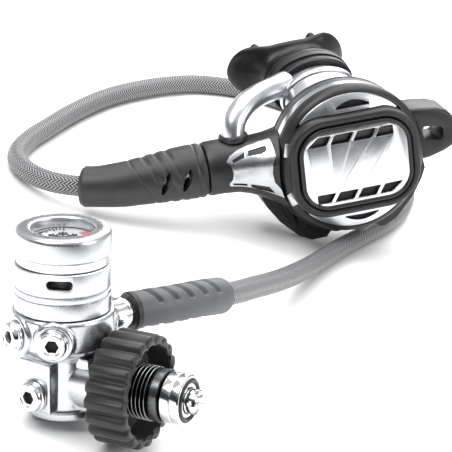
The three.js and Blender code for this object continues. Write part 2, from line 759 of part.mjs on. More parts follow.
/** The silicone mouthpiece: a sleeve on the tube, the lip flange and two bite lugs. */
function mouthpiece() {
  const sleeve = atMouth(oval(45, 32, -5, 10));
  const neck = atMouth(oval(38, 25, 8, 22));
  const flange = [
    atMouth(slab(roundedOutline(60, 30, 14), 20, 23.4, 1)),
    atMouth(slab(roundedOutline(58, 27, 13), 22, 25.6, 1)),
  ];
  const lugs = [-1, 1].flatMap((side) => [
    atMouth(box(5, 14, 9, [side * 20, 31, 0])),
    atMouth(box(7, 3, 15, [side * 20, 36, 0])),
  ]);
  const tubeSeat = atMouth(oval(40 + 2 * GAP, 27 + 2 * GAP, -6, 7.3));
  const airway = atMouth(oval(28, 14, 6, 30));
  const body = join(...[sleeve, neck, ...flange, ...lugs].map(solid));
  return cut(body, solid(tubeSeat), solid(airway), solid(atMouth(oval(52, 40, -6, -4.4))));
}

function mouthpieceClamp() {
  const band = cut(solid(atMouth(oval(47.4, 34.4, 1, 5))), solid(atMouth(oval(45.6, 32.6, 0, 6))));
  return join(band, solid(atMouth(box(6, 6, 3, [10, 3, 17.2]))));
}

/** Where a group stands on the table, for pieces cut by or built among the hose's. */
function placeOf(group) {
  group.updateMatrix();
  return group.matrix.clone();
}

/**
 * The exhaust tee under the case: two outlets that open downwards on each side of an arch.
 * One flank is hollowed above the hose, so that the second stage can swivel over it.
 */
function exhaustCover() {
  const bottom = [[7, -41.5], [12, -46.9], [20, -46.9], [27, -43.5]];
  const side = [...bottom, [36.4, -33.6], [44.6, -20], [43.4, -13], [30, -12]];
  const mirror = (points) => points.map(([x, z]) => [-x, z]).reverse();
  const tee = slab([...mirror(side), ...side], EXHAUST_FRONT, 33, 1.2);
  const collar = slab(arc(RIM_RADIUS + 2, 197, 343, 16), 5, EXHAUST_FRONT + 2);
  const slope = box(120, 60, 30, [0, 30, -15]).rotateX(Math.atan(0.8));
  slope.translate(0, EXHAUST_FRONT + 1, -46.9);
  const outlet = [[13.4, -60], [19.4, -60], [25.6, -43], [34.4, -31.6], [41, -19.6], [30, -15], [10, -30]];
  const outlets = [outlet, mirror(outlet)].map((points) => slab(points, EXHAUST_FRONT + 2, 30.8));
  const chamber = box(40, 12.3, 22, [0, 24.65, -28.6]);
  const passage = wire(new Stretch(hoseCurve, ...HOSE_PASSAGE), HOSE_RADIUS + PASSAGE_ROOM, 16, 8);
  passage.applyMatrix4(placeOf(secondStage).invert());
  const hollows = [slope, ...outlets, chamber, passage].map(solid);
  return cut(join(solid(tee), solid(collar)), ...hollows, caseEnvelope(0.5), shroud(0.4));
}

/** A thin mushroom disc over the exhaust port, lying on the case's cone. */
function exhaustValve() {
  const disc = turned([[0, 0.5], [5.2, 0.9], [5.2, 1.5], [0, 1.3]], COARSE);
  return disc.rotateX(CONE_NORMAL).translate(0, 22.5, -35.6);
}

/** The cap that closes the valve's free end, an open bow as wide as the barrel. */
function sideCap() {
  const under = [[32, -10], [44, -9], [52, -6.8], [56.6, -4.6], [58.6, -1.6]];
  const over = [[58.6, 6], [57, 12], [54, 15.4], [49, 17.4], [32, 19]];
  const bow = solid(slab([...under, ...over], 1.5, 22.5, 1.5));
  const window = slab(roundedOutline(9, 7.6, 2, 3, [46, 4.8]), -5, 30);
  const barrel = onValve(rod(BARREL_RADIUS + GAP, 20, BARREL_END + GAP));
  return cut(bow, solid(window), caseEnvelope(0.5), solid(barrel));
}

place(secondStage, "case_band", caseBand(), SATIN_METAL);
place(secondStage, "case_back", caseBack(), GREY_PLASTIC);
place(secondStage, "mouthpiece_tube", mouthpieceTube(), SATIN_METAL);
place(secondStage, "cover_ring", coverRing(), BLACK_PLASTIC);
place(secondStage, "upper_crescent", crescentInsert(1), SATIN_METAL);
place(secondStage, "lower_crescent", crescentInsert(-1), SATIN_METAL);
place(secondStage, "purge_plate", purgePlate(), BRIGHT_METAL);
place(secondStage, "purge_rim", purgeRim(), BLACK_RUBBER);
diaphragms();
place(secondStage, "demand_lever", demandLever(), SPRING_STEEL);
valveTrain();
place(secondStage, "inlet_shroud", inletShroud(), BLACK_PLASTIC);
place(secondStage, "shroud_plate", shroudPlate(), SATIN_METAL);
place(secondStage, "bypass_tube", bypassTube(), SATIN_METAL);
place(secondStage, "mouthpiece", mouthpiece(), BLACK_RUBBER);
place(secondStage, "mouthpiece_clamp", mouthpieceClamp(), BLACK_PLASTIC);
place(secondStage, "exhaust_cover", exhaustCover(), BLACK_PLASTIC);
place(secondStage, "exhaust_valve", exhaustValve(), PALE_SILICONE);
place(secondStage, "side_cap", sideCap(), BLACK_PLASTIC);

// ---------------------------------------------------------------- hose

/** The hose's swivelling end at the second stage: a crimped sleeve and a hexagon nut. */
function swivelFitting() {
  const bore = 2.5;
  const stem = ring([[bore, -103.7], [7.2, -103.7], [7.2, -91], [6, -90], [6, -72.3], [bore, -72.3]], COARSE);
  const nut = rod(8, -89, -76, 6);
  return cut(join(solid(stem), solid(nut)), solid(rod(bore, -105, -70)));
}

/** The grey sleeve over the hose at the first stage, notched across its top and its bottom. */
function firstProtector() {
  const sleeve = solid(wire(new Stretch(hoseCurve, 0.1, PROTECTOR_LENGTH), 8, 16, 8));
  const notches = [];
  for (const along of [14, 24, 34, 44]) {
    const at = hoseCurve.getPointAt(along / hoseCurve.getLength());
    for (const side of [1, -1]) {
      notches.push(solid(box(3, 18, 3, [at.x, at.y, at.z + side * 7.6])));
    }
  }
  return cut(sleeve, hoseEnvelope, ...notches);
}

/** The black sleeve at the second stage: a tapered bell over the nut and a neck round the hose. */
function secondProtector() {
  const length = hoseCurve.getLength();
  const neck = solid(wire(new Stretch(hoseCurve, length - 35, length - 5), 10.2, 16, 6));
  const bell = turned([[0, -118], [11, -118], [12.6, -100], [13.8, -86], [14.2, -74.4], [0, -74.4]]);
  const bore = rod(8.3, -104, -73);
  const leaf = rod(1, -20, 20, 12).scale(9, 3.4, 1).rotateX(Math.PI / 2).rotateY(radians(20));
  const inPlace = (geometry) => solid(geometry.applyMatrix4(placeOf(secondStage)));
  const openings = inPlace(leaf.translate(-93, VALVE_Y, VALVE_Z));
  return cut(join(inPlace(onValve(bell)), neck), hoseEnvelope, inPlace(onValve(bore)), openings);
}

const hoseSteps = 60;
const hoseEnvelope = solid(wire(hoseCurve, HOSE_RADIUS + GAP, 12, hoseSteps));

place(secondStage, "second_hose_fitting", onValve(surface(swivelFitting())), BRIGHT_METAL);

const set = new THREE.Group();
set.name = "scuba_regulator_set";
set.add(firstStage, secondStage);
place(set, "hose", wire(hoseCurve, HOSE_RADIUS, 12, hoseSteps), BLACK_RUBBER);
place(set, "first_hose_protector", firstProtector(), GREY_RUBBER);
place(set, "second_hose_protector", secondProtector(), BLACK_RUBBER);
set.position.set(...FOOTPRINT_MIDDLE.map((value) => -value), 0);

export default set;
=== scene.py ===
import json
import logging
import math
from collections.abc import Callable, Iterator, Sequence
from contextlib import contextmanager
from dataclasses import dataclass, field
from enum import Enum

import bpy
from mathutils import Matrix, Vector


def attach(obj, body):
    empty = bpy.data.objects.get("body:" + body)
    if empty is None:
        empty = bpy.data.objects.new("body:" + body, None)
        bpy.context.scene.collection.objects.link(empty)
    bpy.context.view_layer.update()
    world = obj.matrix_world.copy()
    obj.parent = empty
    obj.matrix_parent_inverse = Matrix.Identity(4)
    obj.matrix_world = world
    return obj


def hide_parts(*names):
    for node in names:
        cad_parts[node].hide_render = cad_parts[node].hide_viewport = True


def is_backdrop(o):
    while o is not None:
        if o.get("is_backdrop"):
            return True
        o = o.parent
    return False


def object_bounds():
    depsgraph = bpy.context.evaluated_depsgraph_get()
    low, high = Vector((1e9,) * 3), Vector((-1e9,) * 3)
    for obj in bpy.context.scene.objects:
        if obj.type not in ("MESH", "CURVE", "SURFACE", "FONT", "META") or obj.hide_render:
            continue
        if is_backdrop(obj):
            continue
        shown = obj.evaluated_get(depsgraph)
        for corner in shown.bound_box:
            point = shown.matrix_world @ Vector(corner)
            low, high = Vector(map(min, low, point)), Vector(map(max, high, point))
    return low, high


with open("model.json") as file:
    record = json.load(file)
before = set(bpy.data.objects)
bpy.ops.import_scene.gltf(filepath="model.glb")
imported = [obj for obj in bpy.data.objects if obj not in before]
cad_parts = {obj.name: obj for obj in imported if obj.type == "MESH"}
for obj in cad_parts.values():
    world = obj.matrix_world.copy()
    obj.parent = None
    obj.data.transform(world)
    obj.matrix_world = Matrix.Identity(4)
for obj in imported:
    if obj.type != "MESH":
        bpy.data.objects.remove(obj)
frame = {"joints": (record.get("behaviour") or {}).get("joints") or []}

CAD_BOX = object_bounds()
LOG = logging.getLogger("scuba_regulator_set")

MM = 0.001
Point2 = tuple[float, float]
Point3 = tuple[float, float, float]
Profile = Sequence[Point2]


class Body(Enum):
    """The rigid bodies that the visible pieces ride on."""

    FIRST_STAGE = "first_stage"
    HANDWHEEL = "handwheel"
    SECOND_STAGE = "second_stage"
    PURGE = "purge_button"


class Slot(Enum):
    """The record's material slots."""

    SATIN = "satin_metal"
    BRIGHT = "bright_metal"
    BRASS = "brass"
    PLASTIC = "black_plastic"
    GREY = "grey_plastic"
    RUBBER = "black_rubber"
    GREY_RUBBER = "grey_rubber"
    SILICONE = "pale_silicone"


# ---------------------------------------------------------------- places


def joint(name: str) -> dict:
    """The record's entry for one joint."""
    return next(entry for entry in frame["joints"] if entry["name"] == name)


def place_of(x: Vector, z: Vector, point: Vector, at: Point3) -> Matrix:
    """A stage's own frame as a matrix from its millimetres to the row's metres.

    Args:
        x: Direction of the stage's x axis.
        z: Direction of the stage's z axis.
        point: A known point, in the row's metres.
        at: The same point in the stage's own millimetres.

    Returns:
        The matrix, with its scale in it.
    """
    x, z = x.normalized(), z.normalized()
    turn = Matrix((x, z.cross(x), z)).transposed()
    matrix = turn.to_4x4() @ Matrix.Scale(MM, 4)
    matrix.translation = point - turn @ Vector(at) * MM
    return matrix


WHEEL_JOINT = joint("handwheel_turn")
SWIVEL_JOINT = joint("second_stage_swivel")
FIRST = place_of(
    Vector(WHEEL_JOINT["axis"]),
    -Vector(joint("main_valve_slide")["axis"]),
    Vector(WHEEL_JOINT["pos_m"]),
    (32, 0, 15.5),
)
SECOND = place_of(
    Vector(SWIVEL_JOINT["axis"]),
    Vector(SWIVEL_JOINT["axis"]).cross(Vector(joint("purge_press")["axis"])),
    Vector(SWIVEL_JOINT["pos_m"]),
    (-80, 12, 4.1),
)
INLET = FIRST @ Matrix.Translation((0, 0, 15.5)) @ Matrix.Rotation(math.radians(90), 4, "Y")
VALVE = SECOND @ Matrix.Translation((0, 12, 4.1)) @ Matrix.Rotation(math.radians(90), 4, "Y")
DISH = SECOND @ Matrix.Rotation(math.radians(-90), 4, "X")
MOUTH = (
    SECOND
    @ Matrix.Translation((-5, 46, 28))
    @ Matrix.Rotation(math.radians(6), 4, "Z")
    @ Matrix.Rotation(math.radians(14), 4, "X")
)
MOUTH_ROUND = MOUTH @ Matrix.Rotation(math.radians(-90), 4, "X")

LOW_PORT_HEIGHT = 37.2
HIGH_PORT_HEIGHT = 12
HOSE_PORT_ANGLE = 61
ROW = Matrix.Identity(4)


def port(angle: float, height: float) -> Matrix:
    """The place of a port on the turret, with z pointing out along its axis."""
    turn = Matrix.Rotation(math.radians(angle), 4, "Z") @ Matrix.Rotation(math.radians(90), 4, "Y")
    return FIRST @ Matrix.Translation((0, 0, height)) @ turn


# ---------------------------------------------------------------- materials


def linear(hex_colour: int) -> tuple[float, float, float, float]:
    """An sRGB hex colour as linear red, green, blue and alpha."""
    channels = [(hex_colour >> shift & 255) / 255 for shift in (16, 8, 0)]
    return (*[c / 12.92 if c <= 0.04045 else ((c + 0.055) / 1.055) ** 2.4 for c in channels], 1.0)


def node(tree: bpy.types.NodeTree, kind: str, settings: dict | None = None, **inputs) -> bpy.types.Node:
    """Add a node with its settings and its inputs.

    Args:
        tree: The material's node tree.
        kind: The node's type, without the ShaderNode in front.
        settings: Properties of the node itself; stops holds a colour ramp's (position, sRGB colour) pairs.
        inputs: A value or an output socket for each input, named as the socket with _ for a
            space, or in0, in1 and so on by position.

    Returns:
        The new node.
    """
    made = tree.nodes.new("ShaderNode" + kind)
    for name, value in (settings or {}).items():
        if name == "stops":
            while len(made.color_ramp.elements) < len(value):
                made.color_ramp.elements.new(0.5)
            for element, (position, colour) in zip(made.color_ramp.elements, value):
                element.position = position
                element.color = linear(colour)
        else:
            setattr(made, name, value)
    for name, value in inputs.items():
        key = int(name[2:]) if name.startswith("in") and name[2:].isdigit() else name.replace("_", " ")
        socket = made.inputs[key]
        if isinstance(value, bpy.types.NodeSocket):
            tree.links.new(value, socket)
        else:
            socket.default_value = value
    return made


@dataclass(frozen=True)
class Finish:
    """What every finish has: a base shader whose colour and roughness vary a little."""

    name: str
    colour: int
    shade: int
    roughness: float
    metallic: float = 0.0
    ior: float = 1.5
    grain: float = 0.2 * MM
    grain_depth: float = 0.01 * MM
    mottle: float = 6 * MM
    roughness_spread: float = 0.08
    coat: float = 0.0
    sheen: float = 0.0

    def build(self) -> bpy.types.Material:
        """Make the material, or return the one already made."""
        made = bpy.data.materials.get(self.name)
        if made is not None:
            return made
        made = bpy.data.materials.new(self.name)
        made.use_nodes = True
        tree = made.node_tree
        tree.nodes.clear()
        shader = node(tree, "BsdfPrincipled", None, Metallic=self.metallic, Roughness=self.roughness)
        if self.metallic < 0.5:
            shader.inputs["IOR"].default_value = self.ior
        shader.inputs["Coat Weight"].default_value = self.coat
        shader.inputs["Sheen Weight"].default_value = self.sheen
        output = node(tree, "OutputMaterial")
        tree.links.new(shader.outputs["BSDF"], output.inputs["Surface"])
        place = node(tree, "TexCoord").outputs["Object"]
        self.dress(tree, shader, place)
        made.diffuse_color = linear(self.colour)
        return made

    def dress(self, tree: bpy.types.NodeTree, shader: bpy.types.Node, place: bpy.types.NodeSocket) -> None:
        """Vary the colour and roughness in soft patches, and raise the grain."""
        patches = node(tree, "TexNoise", None, Vector=place, Scale=1 / self.mottle, Detail=3.0)
        stops = [(0.3, self.shade), (0.7, self.colour)]
        colour = node(tree, "ValToRGB", {"stops": stops}, Fac=patches.outputs["Fac"])
        tree.links.new(colour.outputs["Color"], shader.inputs["Base Color"])
        rough = node(
            tree,
            "MapRange",
            None,
            Value=patches.outputs["Fac"],
            To_Min=self.roughness - self.roughness_spread / 2,
            To_Max=self.roughness + self.roughness_spread / 2,
        )
        tree.links.new(rough.outputs["Result"], shader.inputs["Roughness"])
        height = self.relief(tree, place)
        bump = node(tree, "Bump", None, Strength=0.6, Distance=self.grain_depth, Height=height)
        tree.links.new(bump.outputs["Normal"], shader.inputs["Normal"])

    def relief(self, tree: bpy.types.NodeTree, place: bpy.types.NodeSocket) -> bpy.types.NodeSocket:
        """The height of the grain."""
        return node(tree, "TexNoise", None, Vector=place, Scale=1 / self.grain, Detail=2.0).outputs["Fac"]


@dataclass(frozen=True)
class TurnedMetal(Finish):
    """Metal finished on a lathe: fine rings round an axis, which draw a highlight out along it."""

    axis: tuple = ()
    ring: float = 0.35 * MM

    def lathe(
        self, tree: bpy.types.NodeTree, place: bpy.types.NodeSocket
    ) -> tuple[bpy.types.NodeSocket, bpy.types.NodeSocket]:
        """The distance from the axis and the height along it."""
        matrix = Matrix(self.axis)
        back = matrix.to_3x3().normalized().to_4x4().inverted()
        offset = back @ (-matrix.translation)
        local = node(
            tree, "Mapping", None, Vector=place, Location=tuple(offset), Rotation=tuple(back.to_euler())
        )
        split = node(tree, "SeparateXYZ", None, Vector=local.outputs["Vector"])
        flat = node(tree, "CombineXYZ", None, X=split.outputs["X"], Y=split.outputs["Y"])
        reach = node(tree, "VectorMath", {"operation": "LENGTH"}, in0=flat.outputs["Vector"])
        return reach.outputs["Value"], split.outputs["Z"]

    def relief(self, tree: bpy.types.NodeTree, place: bpy.types.NodeSocket) -> bpy.types.NodeSocket:
        """Tool marks: noise stretched round the axis, as a function of height and radius."""
        reach, height = self.lathe(tree, place)
        rings = node(tree, "CombineXYZ", None, X=reach, Z=height)
        return node(
            tree, "TexNoise", None, Vector=rings.outputs["Vector"], Scale=1 / self.ring, Detail=3.0
        ).outputs["Fac"]


@dataclass(frozen=True)
class Braid(Finish):
    """A braided nylon sleeve: strands in two directions, each over two and under two, with a painted
    highlight along each strand's crest and painted shade in the dips between strands.
    """

    carriers: int = 18
    lay: float = 36 * MM

    def dress(self, tree: bpy.types.NodeTree, shader: bpy.types.Node, place: bpy.types.NodeSocket) -> None:
        """Draw the strands from the sleeve's own map: u round it from 0 to 1, v along it in metres."""
        sleeve = node(tree, "UVMap", {"uv_map": "sleeve"}).outputs["UV"]
        split = node(tree, "SeparateXYZ", None, Vector=sleeve)
        turns = float(self.carriers)
        around = node(tree, "Math", {"operation": "MULTIPLY"}, in0=split.outputs["X"], in1=turns)
        along = node(
            tree, "Math", {"operation": "MULTIPLY"}, in0=split.outputs["Y"], in1=self.carriers / self.lay
        )
        cells, ridges = [], []
        for operation in ("ADD", "SUBTRACT"):
            phase = node(
                tree, "Math", {"operation": operation}, in0=around.outputs[0], in1=along.outputs[0]
            ).outputs[0]
            cells.append(node(tree, "Math", {"operation": "FLOOR"}, in0=phase).outputs[0])
            part = node(tree, "Math", {"operation": "FRACT"}, in0=phase).outputs[0]
            half_turn = node(tree, "Math", {"operation": "MULTIPLY"}, in0=part, in1=math.pi)
            ridges.append(node(tree, "Math", {"operation": "SINE"}, in0=half_turn.outputs[0]).outputs[0])
        total = node(tree, "Math", {"operation": "ADD"}, in0=cells[0], in1=cells[1]).outputs[0]
        quarter = node(tree, "Math", {"operation": "FLOORED_MODULO"}, in0=total, in1=4.0).outputs[0]
        over = node(tree, "Math", {"operation": "LESS_THAN"}, in0=quarter, in1=1.5).outputs[0]
        height = node(tree, "Mix", {"data_type": "FLOAT"}, in0=over, in2=ridges[0], in3=ridges[1]).outputs[0]
        # Painted light: near-black painted shade in the dips, the strands' own dark grey on their sides, and
        # a pale painted highlight on their crests.
        stops = [(0.2, 0x030303), (0.72, self.shade), (0.9, self.colour)]
        colour = node(tree, "ValToRGB", {"stops": stops}, Fac=height)
        tree.links.new(colour.outputs["Color"], shader.inputs["Base Color"])
        bump = node(tree, "Bump", None, Strength=0.9, Distance=0.35 * MM, Height=height)
        tree.links.new(bump.outputs["Normal"], shader.inputs["Normal"])


@dataclass(frozen=True)
class RootToCrestThread(TurnedMetal):
    """A dark metal thread, coloured lighter towards its crests."""

    root: float = 10.6 * MM
    crest: float = 11.4 * MM

    def dress(self, tree: bpy.types.NodeTree, shader: bpy.types.Node, place: bpy.types.NodeSocket) -> None:
        """Lighten the metal with its distance from the axis."""
        reach, _ = self.lathe(tree, place)
        crest_share = node(tree, "MapRange", None, Value=reach, From_Min=self.root, From_Max=self.crest)
        stops = [(0.0, self.shade), (0.6, 0x2E2F31), (0.95, self.colour)]
        colour = node(tree, "ValToRGB", {"stops": stops}, Fac=crest_share.outputs["Result"])
        tree.links.new(colour.outputs["Color"], shader.inputs["Base Color"])


def rows(matrix: Matrix) -> tuple:
    """A matrix as plain numbers, for a frozen field."""
    return tuple(tuple(row) for row in matrix)


def satin(name: str, axis: Matrix) -> TurnedMetal:
    """Satin-chromed brass, turned and then bead-blasted: even, bright and softly streaked."""
    return TurnedMetal(
        name, 0xD2D4D6, 0xC4C6C9, 0.27, metallic=1.0, grain_depth=0.012 * MM, axis=rows(axis), mottle=9 * MM
    )


# Satin chrome over turned brass, about each piece's own axis: soft streaks along the barrel.
SATIN_TURRET = satin("satin_chromed_brass_turret", FIRST)
SATIN_DISH = satin("satin_chromed_brass_dish", DISH)
SATIN_VALVE = satin("satin_chromed_brass_valve", VALVE)
# Pressed stainless steel, blasted: pale and almost even, with a wide highlight.
BLASTED_STEEL = Finish(
    "blasted_stainless_steel", 0xD6D8DA, 0xC9CBCE, 0.3, metallic=1.0, grain=0.25 * MM, grain_depth=0.01 * MM
)
# Polished chrome over turned brass: sharp reflections with faint tool rings.
CHROME_INLET = TurnedMetal(
    "polished_chrome_inlet", 0xE4E5E6, 0xD8D9DB, 0.13, metallic=1.0, grain_depth=0.01 * MM, axis=rows(INLET)
)
CHROME = Finish("polished_chrome", 0xE4E5E6, 0xDADBDD, 0.14, metallic=1.0, grain_depth=0.004 * MM)
# Drawn bent tube, satin polished: long soft highlights.
SATIN_TUBE = Finish(
    "satin_polished_tube", 0xD8DADC, 0xCBCDD0, 0.3, metallic=1.0, grain=0.5 * MM, grain_depth=0.006 * MM
)
# Glass-filled nylon, moulded: deep grey-black with a fine spark grain.
NYLON = Finish("glass_filled_nylon_black", 0x1A1A1B, 0x131314, 0.4, grain=0.22 * MM, grain_depth=0.03 * MM)
NYLON_GREY = Finish(
    "glass_filled_nylon_grey", 0x4A4B4E, 0x424346, 0.45, grain=0.25 * MM, grain_depth=0.02 * MM
)
# Soft moulded elastomer: matt black, a little grey where light grazes it.
ELASTOMER = Finish(
    "moulded_elastomer_black", 0x131314, 0x0D0D0E, 0.46, grain=0.3 * MM, grain_depth=0.025 * MM, sheen=0.08
)
GLOSS_ELASTOMER = Finish(
    "moulded_elastomer_smooth", 0x151516, 0x0E0E0F, 0.34, grain=0.4 * MM, grain_depth=0.012 * MM
)
# Moulded thermoplastic rubber, mid grey: dry, with a faint mould texture.
GREY_TPR = Finish(
    "moulded_rubber_grey", 0x55575B, 0x4B4D51, 0.52, grain=0.3 * MM, grain_depth=0.03 * MM, sheen=0.08
)
# Liquid silicone, black: smooth and slightly waxy.
SILICONE = Finish(
    "liquid_silicone_black", 0x161617, 0x0E0E0F, 0.34, ior=1.41, grain=0.8 * MM, grain_depth=0.03 * MM
)
# Dark metal thread, lighter with its distance from the axis: darkest at its roots, pale at its crests.
THREAD = RootToCrestThread(
    "thread_dark_root_pale_crest", 0x8E9092, 0x1A1B1C, 0.24, metallic=0.9, grain_depth=0.004 * MM, axis=rows(INLET)
)
# Pressed steel plate, satin: pale, with a wide soft highlight.
SATIN_PLATE = Finish(
    "satin_pressed_steel", 0xDADCDE, 0xCFD1D4, 0.26, metallic=1.0, grain=0.3 * MM, grain_depth=0.008 * MM
)
# Softer nylon blend over the hose's end: matt, dark grey.
NYLON_SOFT = Finish(
    "moulded_rubber_charcoal", 0x222324, 0x1A1A1B, 0.45, grain=0.3 * MM, grain_depth=0.03 * MM, sheen=0.06
)
# Printed label under a clear seal.
LABEL = Finish("printed_label_pale", 0xC9CBCD, 0xBFC1C4, 0.3, coat=0.4, grain_depth=0.002 * MM)
LABEL_DARK = Finish("printed_ink_dark", 0x26282A, 0x1F2022, 0.4, coat=0.3, grain_depth=0.002 * MM)
LABEL_ROSE = Finish("printed_ink_rose", 0xC96A72, 0xC0606A, 0.35, coat=0.4, grain_depth=0.002 * MM)
# Near-black painted shade for recesses the light doesn't reach: the floors of the plug sockets and the space
# behind the crescent vents.
PAINTED_SHADE = Finish("painted_shade_black", 0x08080A, 0x050506, 0.7)
BRASS = Finish("machined_brass", 0xC2A75E, 0xB09452, 0.28, metallic=1.0, grain_depth=0.006 * MM)
# Braided sleeve: its pale colour is a painted highlight on the strand crests, and its dark colour is the
# strands' own grey.
BRAID_PAINTED_SHEEN = Braid("braided_nylon_sleeve", 0xA6A7A9, 0x161617, 0.4)


# ---------------------------------------------------------------- bench


@contextmanager
def editing(obj: bpy.types.Object) -> Iterator[None]:
    """Edit mode on one object, with nothing else selected in the scene."""
    bpy.ops.object.select_all(action="DESELECT")
    obj.select_set(True)
    bpy.context.view_layer.objects.active = obj
    bpy.ops.object.mode_set(mode="EDIT")
    try:
        yield
    finally:
        bpy.ops.object.mode_set(mode="OBJECT")


def settle(obj: bpy.types.Object, place: Matrix) -> None:
    """Put a piece made in a stage's millimetres in its place in the row, in its mesh."""
    obj.matrix_world = place
    bpy.ops.object.select_all(action="DESELECT")
    obj.select_set(True)
    bpy.context.view_layer.objects.active = obj
    bpy.ops.object.transform_apply(location=True, rotation=True, scale=True)


def outward() -> None:
    """Weld what is selected all over and turn its faces out, in edit mode."""
    bpy.ops.mesh.select_all(action="SELECT")
    bpy.ops.mesh.remove_doubles(threshold=0.0005)
    bpy.ops.mesh.normals_make_consistent(inside=False)


def started(name: str, add: Callable, **settings) -> bpy.types.Object:
    """Add a primitive with nothing else selected, and name it."""
    bpy.ops.object.select_all(action="DESELECT")
    add(**settings)
    obj = bpy.context.view_layer.objects.active
    obj.name = name
    obj.data.name = name
    return obj


def turned(name: str, profile: Profile, sides: int = 96, squash: Point2 = (1, 1)) -> bpy.types.Object:
    """Draw a ring up through a profile, as on a lathe about z.

    Args:
        name: The piece's name.
        profile: (radius, height) points. A profile that ends where it starts closes on itself,
            and any other gets a flat cap at each end.
        sides: How many sides go round it.
        squash: Scale across x and y, for an oval.

    Returns:
        The piece, in millimetres.
    """
    closed = profile[0] == profile[-1]
    obj = started(
        name,
        bpy.ops.mesh.primitive_circle_add,
        vertices=sides,
        radius=max(profile[0][0], 0.01),
        fill_type="NOTHING" if closed else "NGON",
        location=(0, 0, profile[0][1]),
    )
    bpy.ops.object.transform_apply(location=True, rotation=True, scale=True)
    with editing(obj):
        bpy.ops.mesh.select_all(action="SELECT")
        for (radius, height), (next_radius, next_height) in zip(profile, profile[1:]):
            grow = max(next_radius, 0.01) / max(radius, 0.01)
            move = {"value": (0, 0, next_height - height)}
            bpy.ops.mesh.extrude_region_move(TRANSFORM_OT_translate=move)
            bpy.ops.transform.resize(value=(grow, grow, 1))
        bpy.ops.mesh.select_all(action="SELECT")
        if squash != (1, 1):
            bpy.ops.transform.resize(value=(squash[0], squash[1], 1), center_override=(0, 0, 0))
        outward()
    return obj


def sheet_cut(name: str, outline: Profile, start: float, end: float) -> bpy.types.Object:
    """Cut an (x, z) outline from a sheet that is as thick as from start to end along y."""
    obj = started(
        name, bpy.ops.mesh.primitive_circle_add, vertices=len(outline), radius=1, fill_type="NGON"
    )
    for vertex, (x, z) in zip(obj.data.vertices, outline):
        vertex.co = (x, start, z)
    with editing(obj):
        bpy.ops.mesh.select_all(action="SELECT")
        bpy.ops.mesh.extrude_region_move(TRANSFORM_OT_translate={"value": (0, end - start, 0)})
        outward()
    return obj


def block(name: str, size: Point3, at: Point3) -> bpy.types.Object:
    """A rectangular block between flat faces, for cutting with."""
    obj = started(name, bpy.ops.mesh.primitive_cube_add, size=1, location=at, scale=size)
    bpy.ops.object.transform_apply(location=True, rotation=True, scale=True)
    return obj


def finish_modifier(obj: bpy.types.Object, kind: str, **settings) -> bpy.types.Object:
    """Add a modifier with its settings and apply it."""
    bpy.ops.object.select_all(action="DESELECT")
    obj.select_set(True)
    bpy.context.view_layer.objects.active = obj
    bpy.ops.object.modifier_add(type=kind)
    modifier = obj.modifiers[-1]
    for key, value in settings.items():
        setattr(modifier, key, value)
    bpy.ops.object.modifier_apply(modifier=modifier.name)
    return obj


def carve(obj: bpy.types.Object, tool: bpy.types.Object, how: str = "DIFFERENCE") -> bpy.types.Object:
    """Cut a piece with a tool, join the tool to it or keep what they share; the tool is used up."""
    finish_modifier(obj, "BOOLEAN", object=tool, operation=how, solver="EXACT")
    bpy.data.objects.remove(tool)
    return obj


def soften(obj: bpy.types.Object, width: float, segments: int = 3, angle: float = 30) -> bpy.types.Object:
    """Round the edges that are sharper than an angle, and shade the rest smooth."""
    limit = math.radians(angle)
    settings = {"width": width, "segments": segments, "limit_method": "ANGLE", "angle_limit": limit}
    finish_modifier(obj, "BEVEL", use_clamp_overlap=True, **settings)
    return smooth(obj, angle)


def smooth(obj: bpy.types.Object, angle: float = 30) -> bpy.types.Object:
    """Shade smooth across edges that turn less than an angle."""
    bpy.ops.object.select_all(action="DESELECT")
    obj.select_set(True)
    bpy.context.view_layer.objects.active = obj
    bpy.ops.object.shade_smooth_by_angle(angle=math.radians(angle))
    return obj


def melt(obj: bpy.types.Object, voxel: float, rounds: int) -> bpy.types.Object:
    """Run the joints of a casting into each other: rebuild its skin and relax it."""
    finish_modifier(obj, "REMESH", mode="VOXEL", voxel_size=voxel)
    finish_modifier(obj, "SMOOTH", factor=0.5, iterations=rounds)
    return smooth(obj, 180)


def moved(obj: bpy.types.Object, place: Matrix) -> bpy.types.Object:
    """Move a tool or a feature within its stage, in millimetres."""
    settle(obj, place)
    return obj


def fit(
    obj: bpy.types.Object, finish: Finish, place: Matrix, body: Body, slot: Slot, replaces: Sequence[str] = ()
) -> bpy.types.Object:
    """Give a finished piece its material, its place, its body and the CAD nodes it stands for."""
    settle(obj, place)
    obj.data.materials.clear()
    obj.data.materials.append(finish.build())
    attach(obj, body.value)
    if replaces:
        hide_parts(*replaces)
    LOG.info("%s: %d faces", obj.name, len(obj.data.polygons))
    return obj


def rounded(
    width: float, height: float, corner: float, at: Point2 = (0, 0), steps: int = 8
) -> list[Point2]:
    """Points round a rectangle with round corners."""
    points = []
    for quarter in range(4):
        side = 1 if quarter in (0, 3) else -1
        level = 1 if quarter < 2 else -1
        for step in range(steps + 1):
            angle = (quarter + step / steps) * math.pi / 2
            x = at[0] + side * (width / 2 - corner) + corner * math.cos(angle)
            z = at[1] + level * (height / 2 - corner) + corner * math.sin(angle)
            points.append((x, z))
    return points


def arc(radius: float, start: float, end: float, steps: int) -> list[Point2]:
    """Points on a circle between two angles in degrees."""
    angles = [math.radians(start + (end - start) * step / steps) for step in range(steps + 1)]
    return [(radius * math.cos(angle), radius * math.sin(angle)) for angle in angles]


# ---------------------------------------------------------------- sweeps

Girth = Callable[[float, float], float]


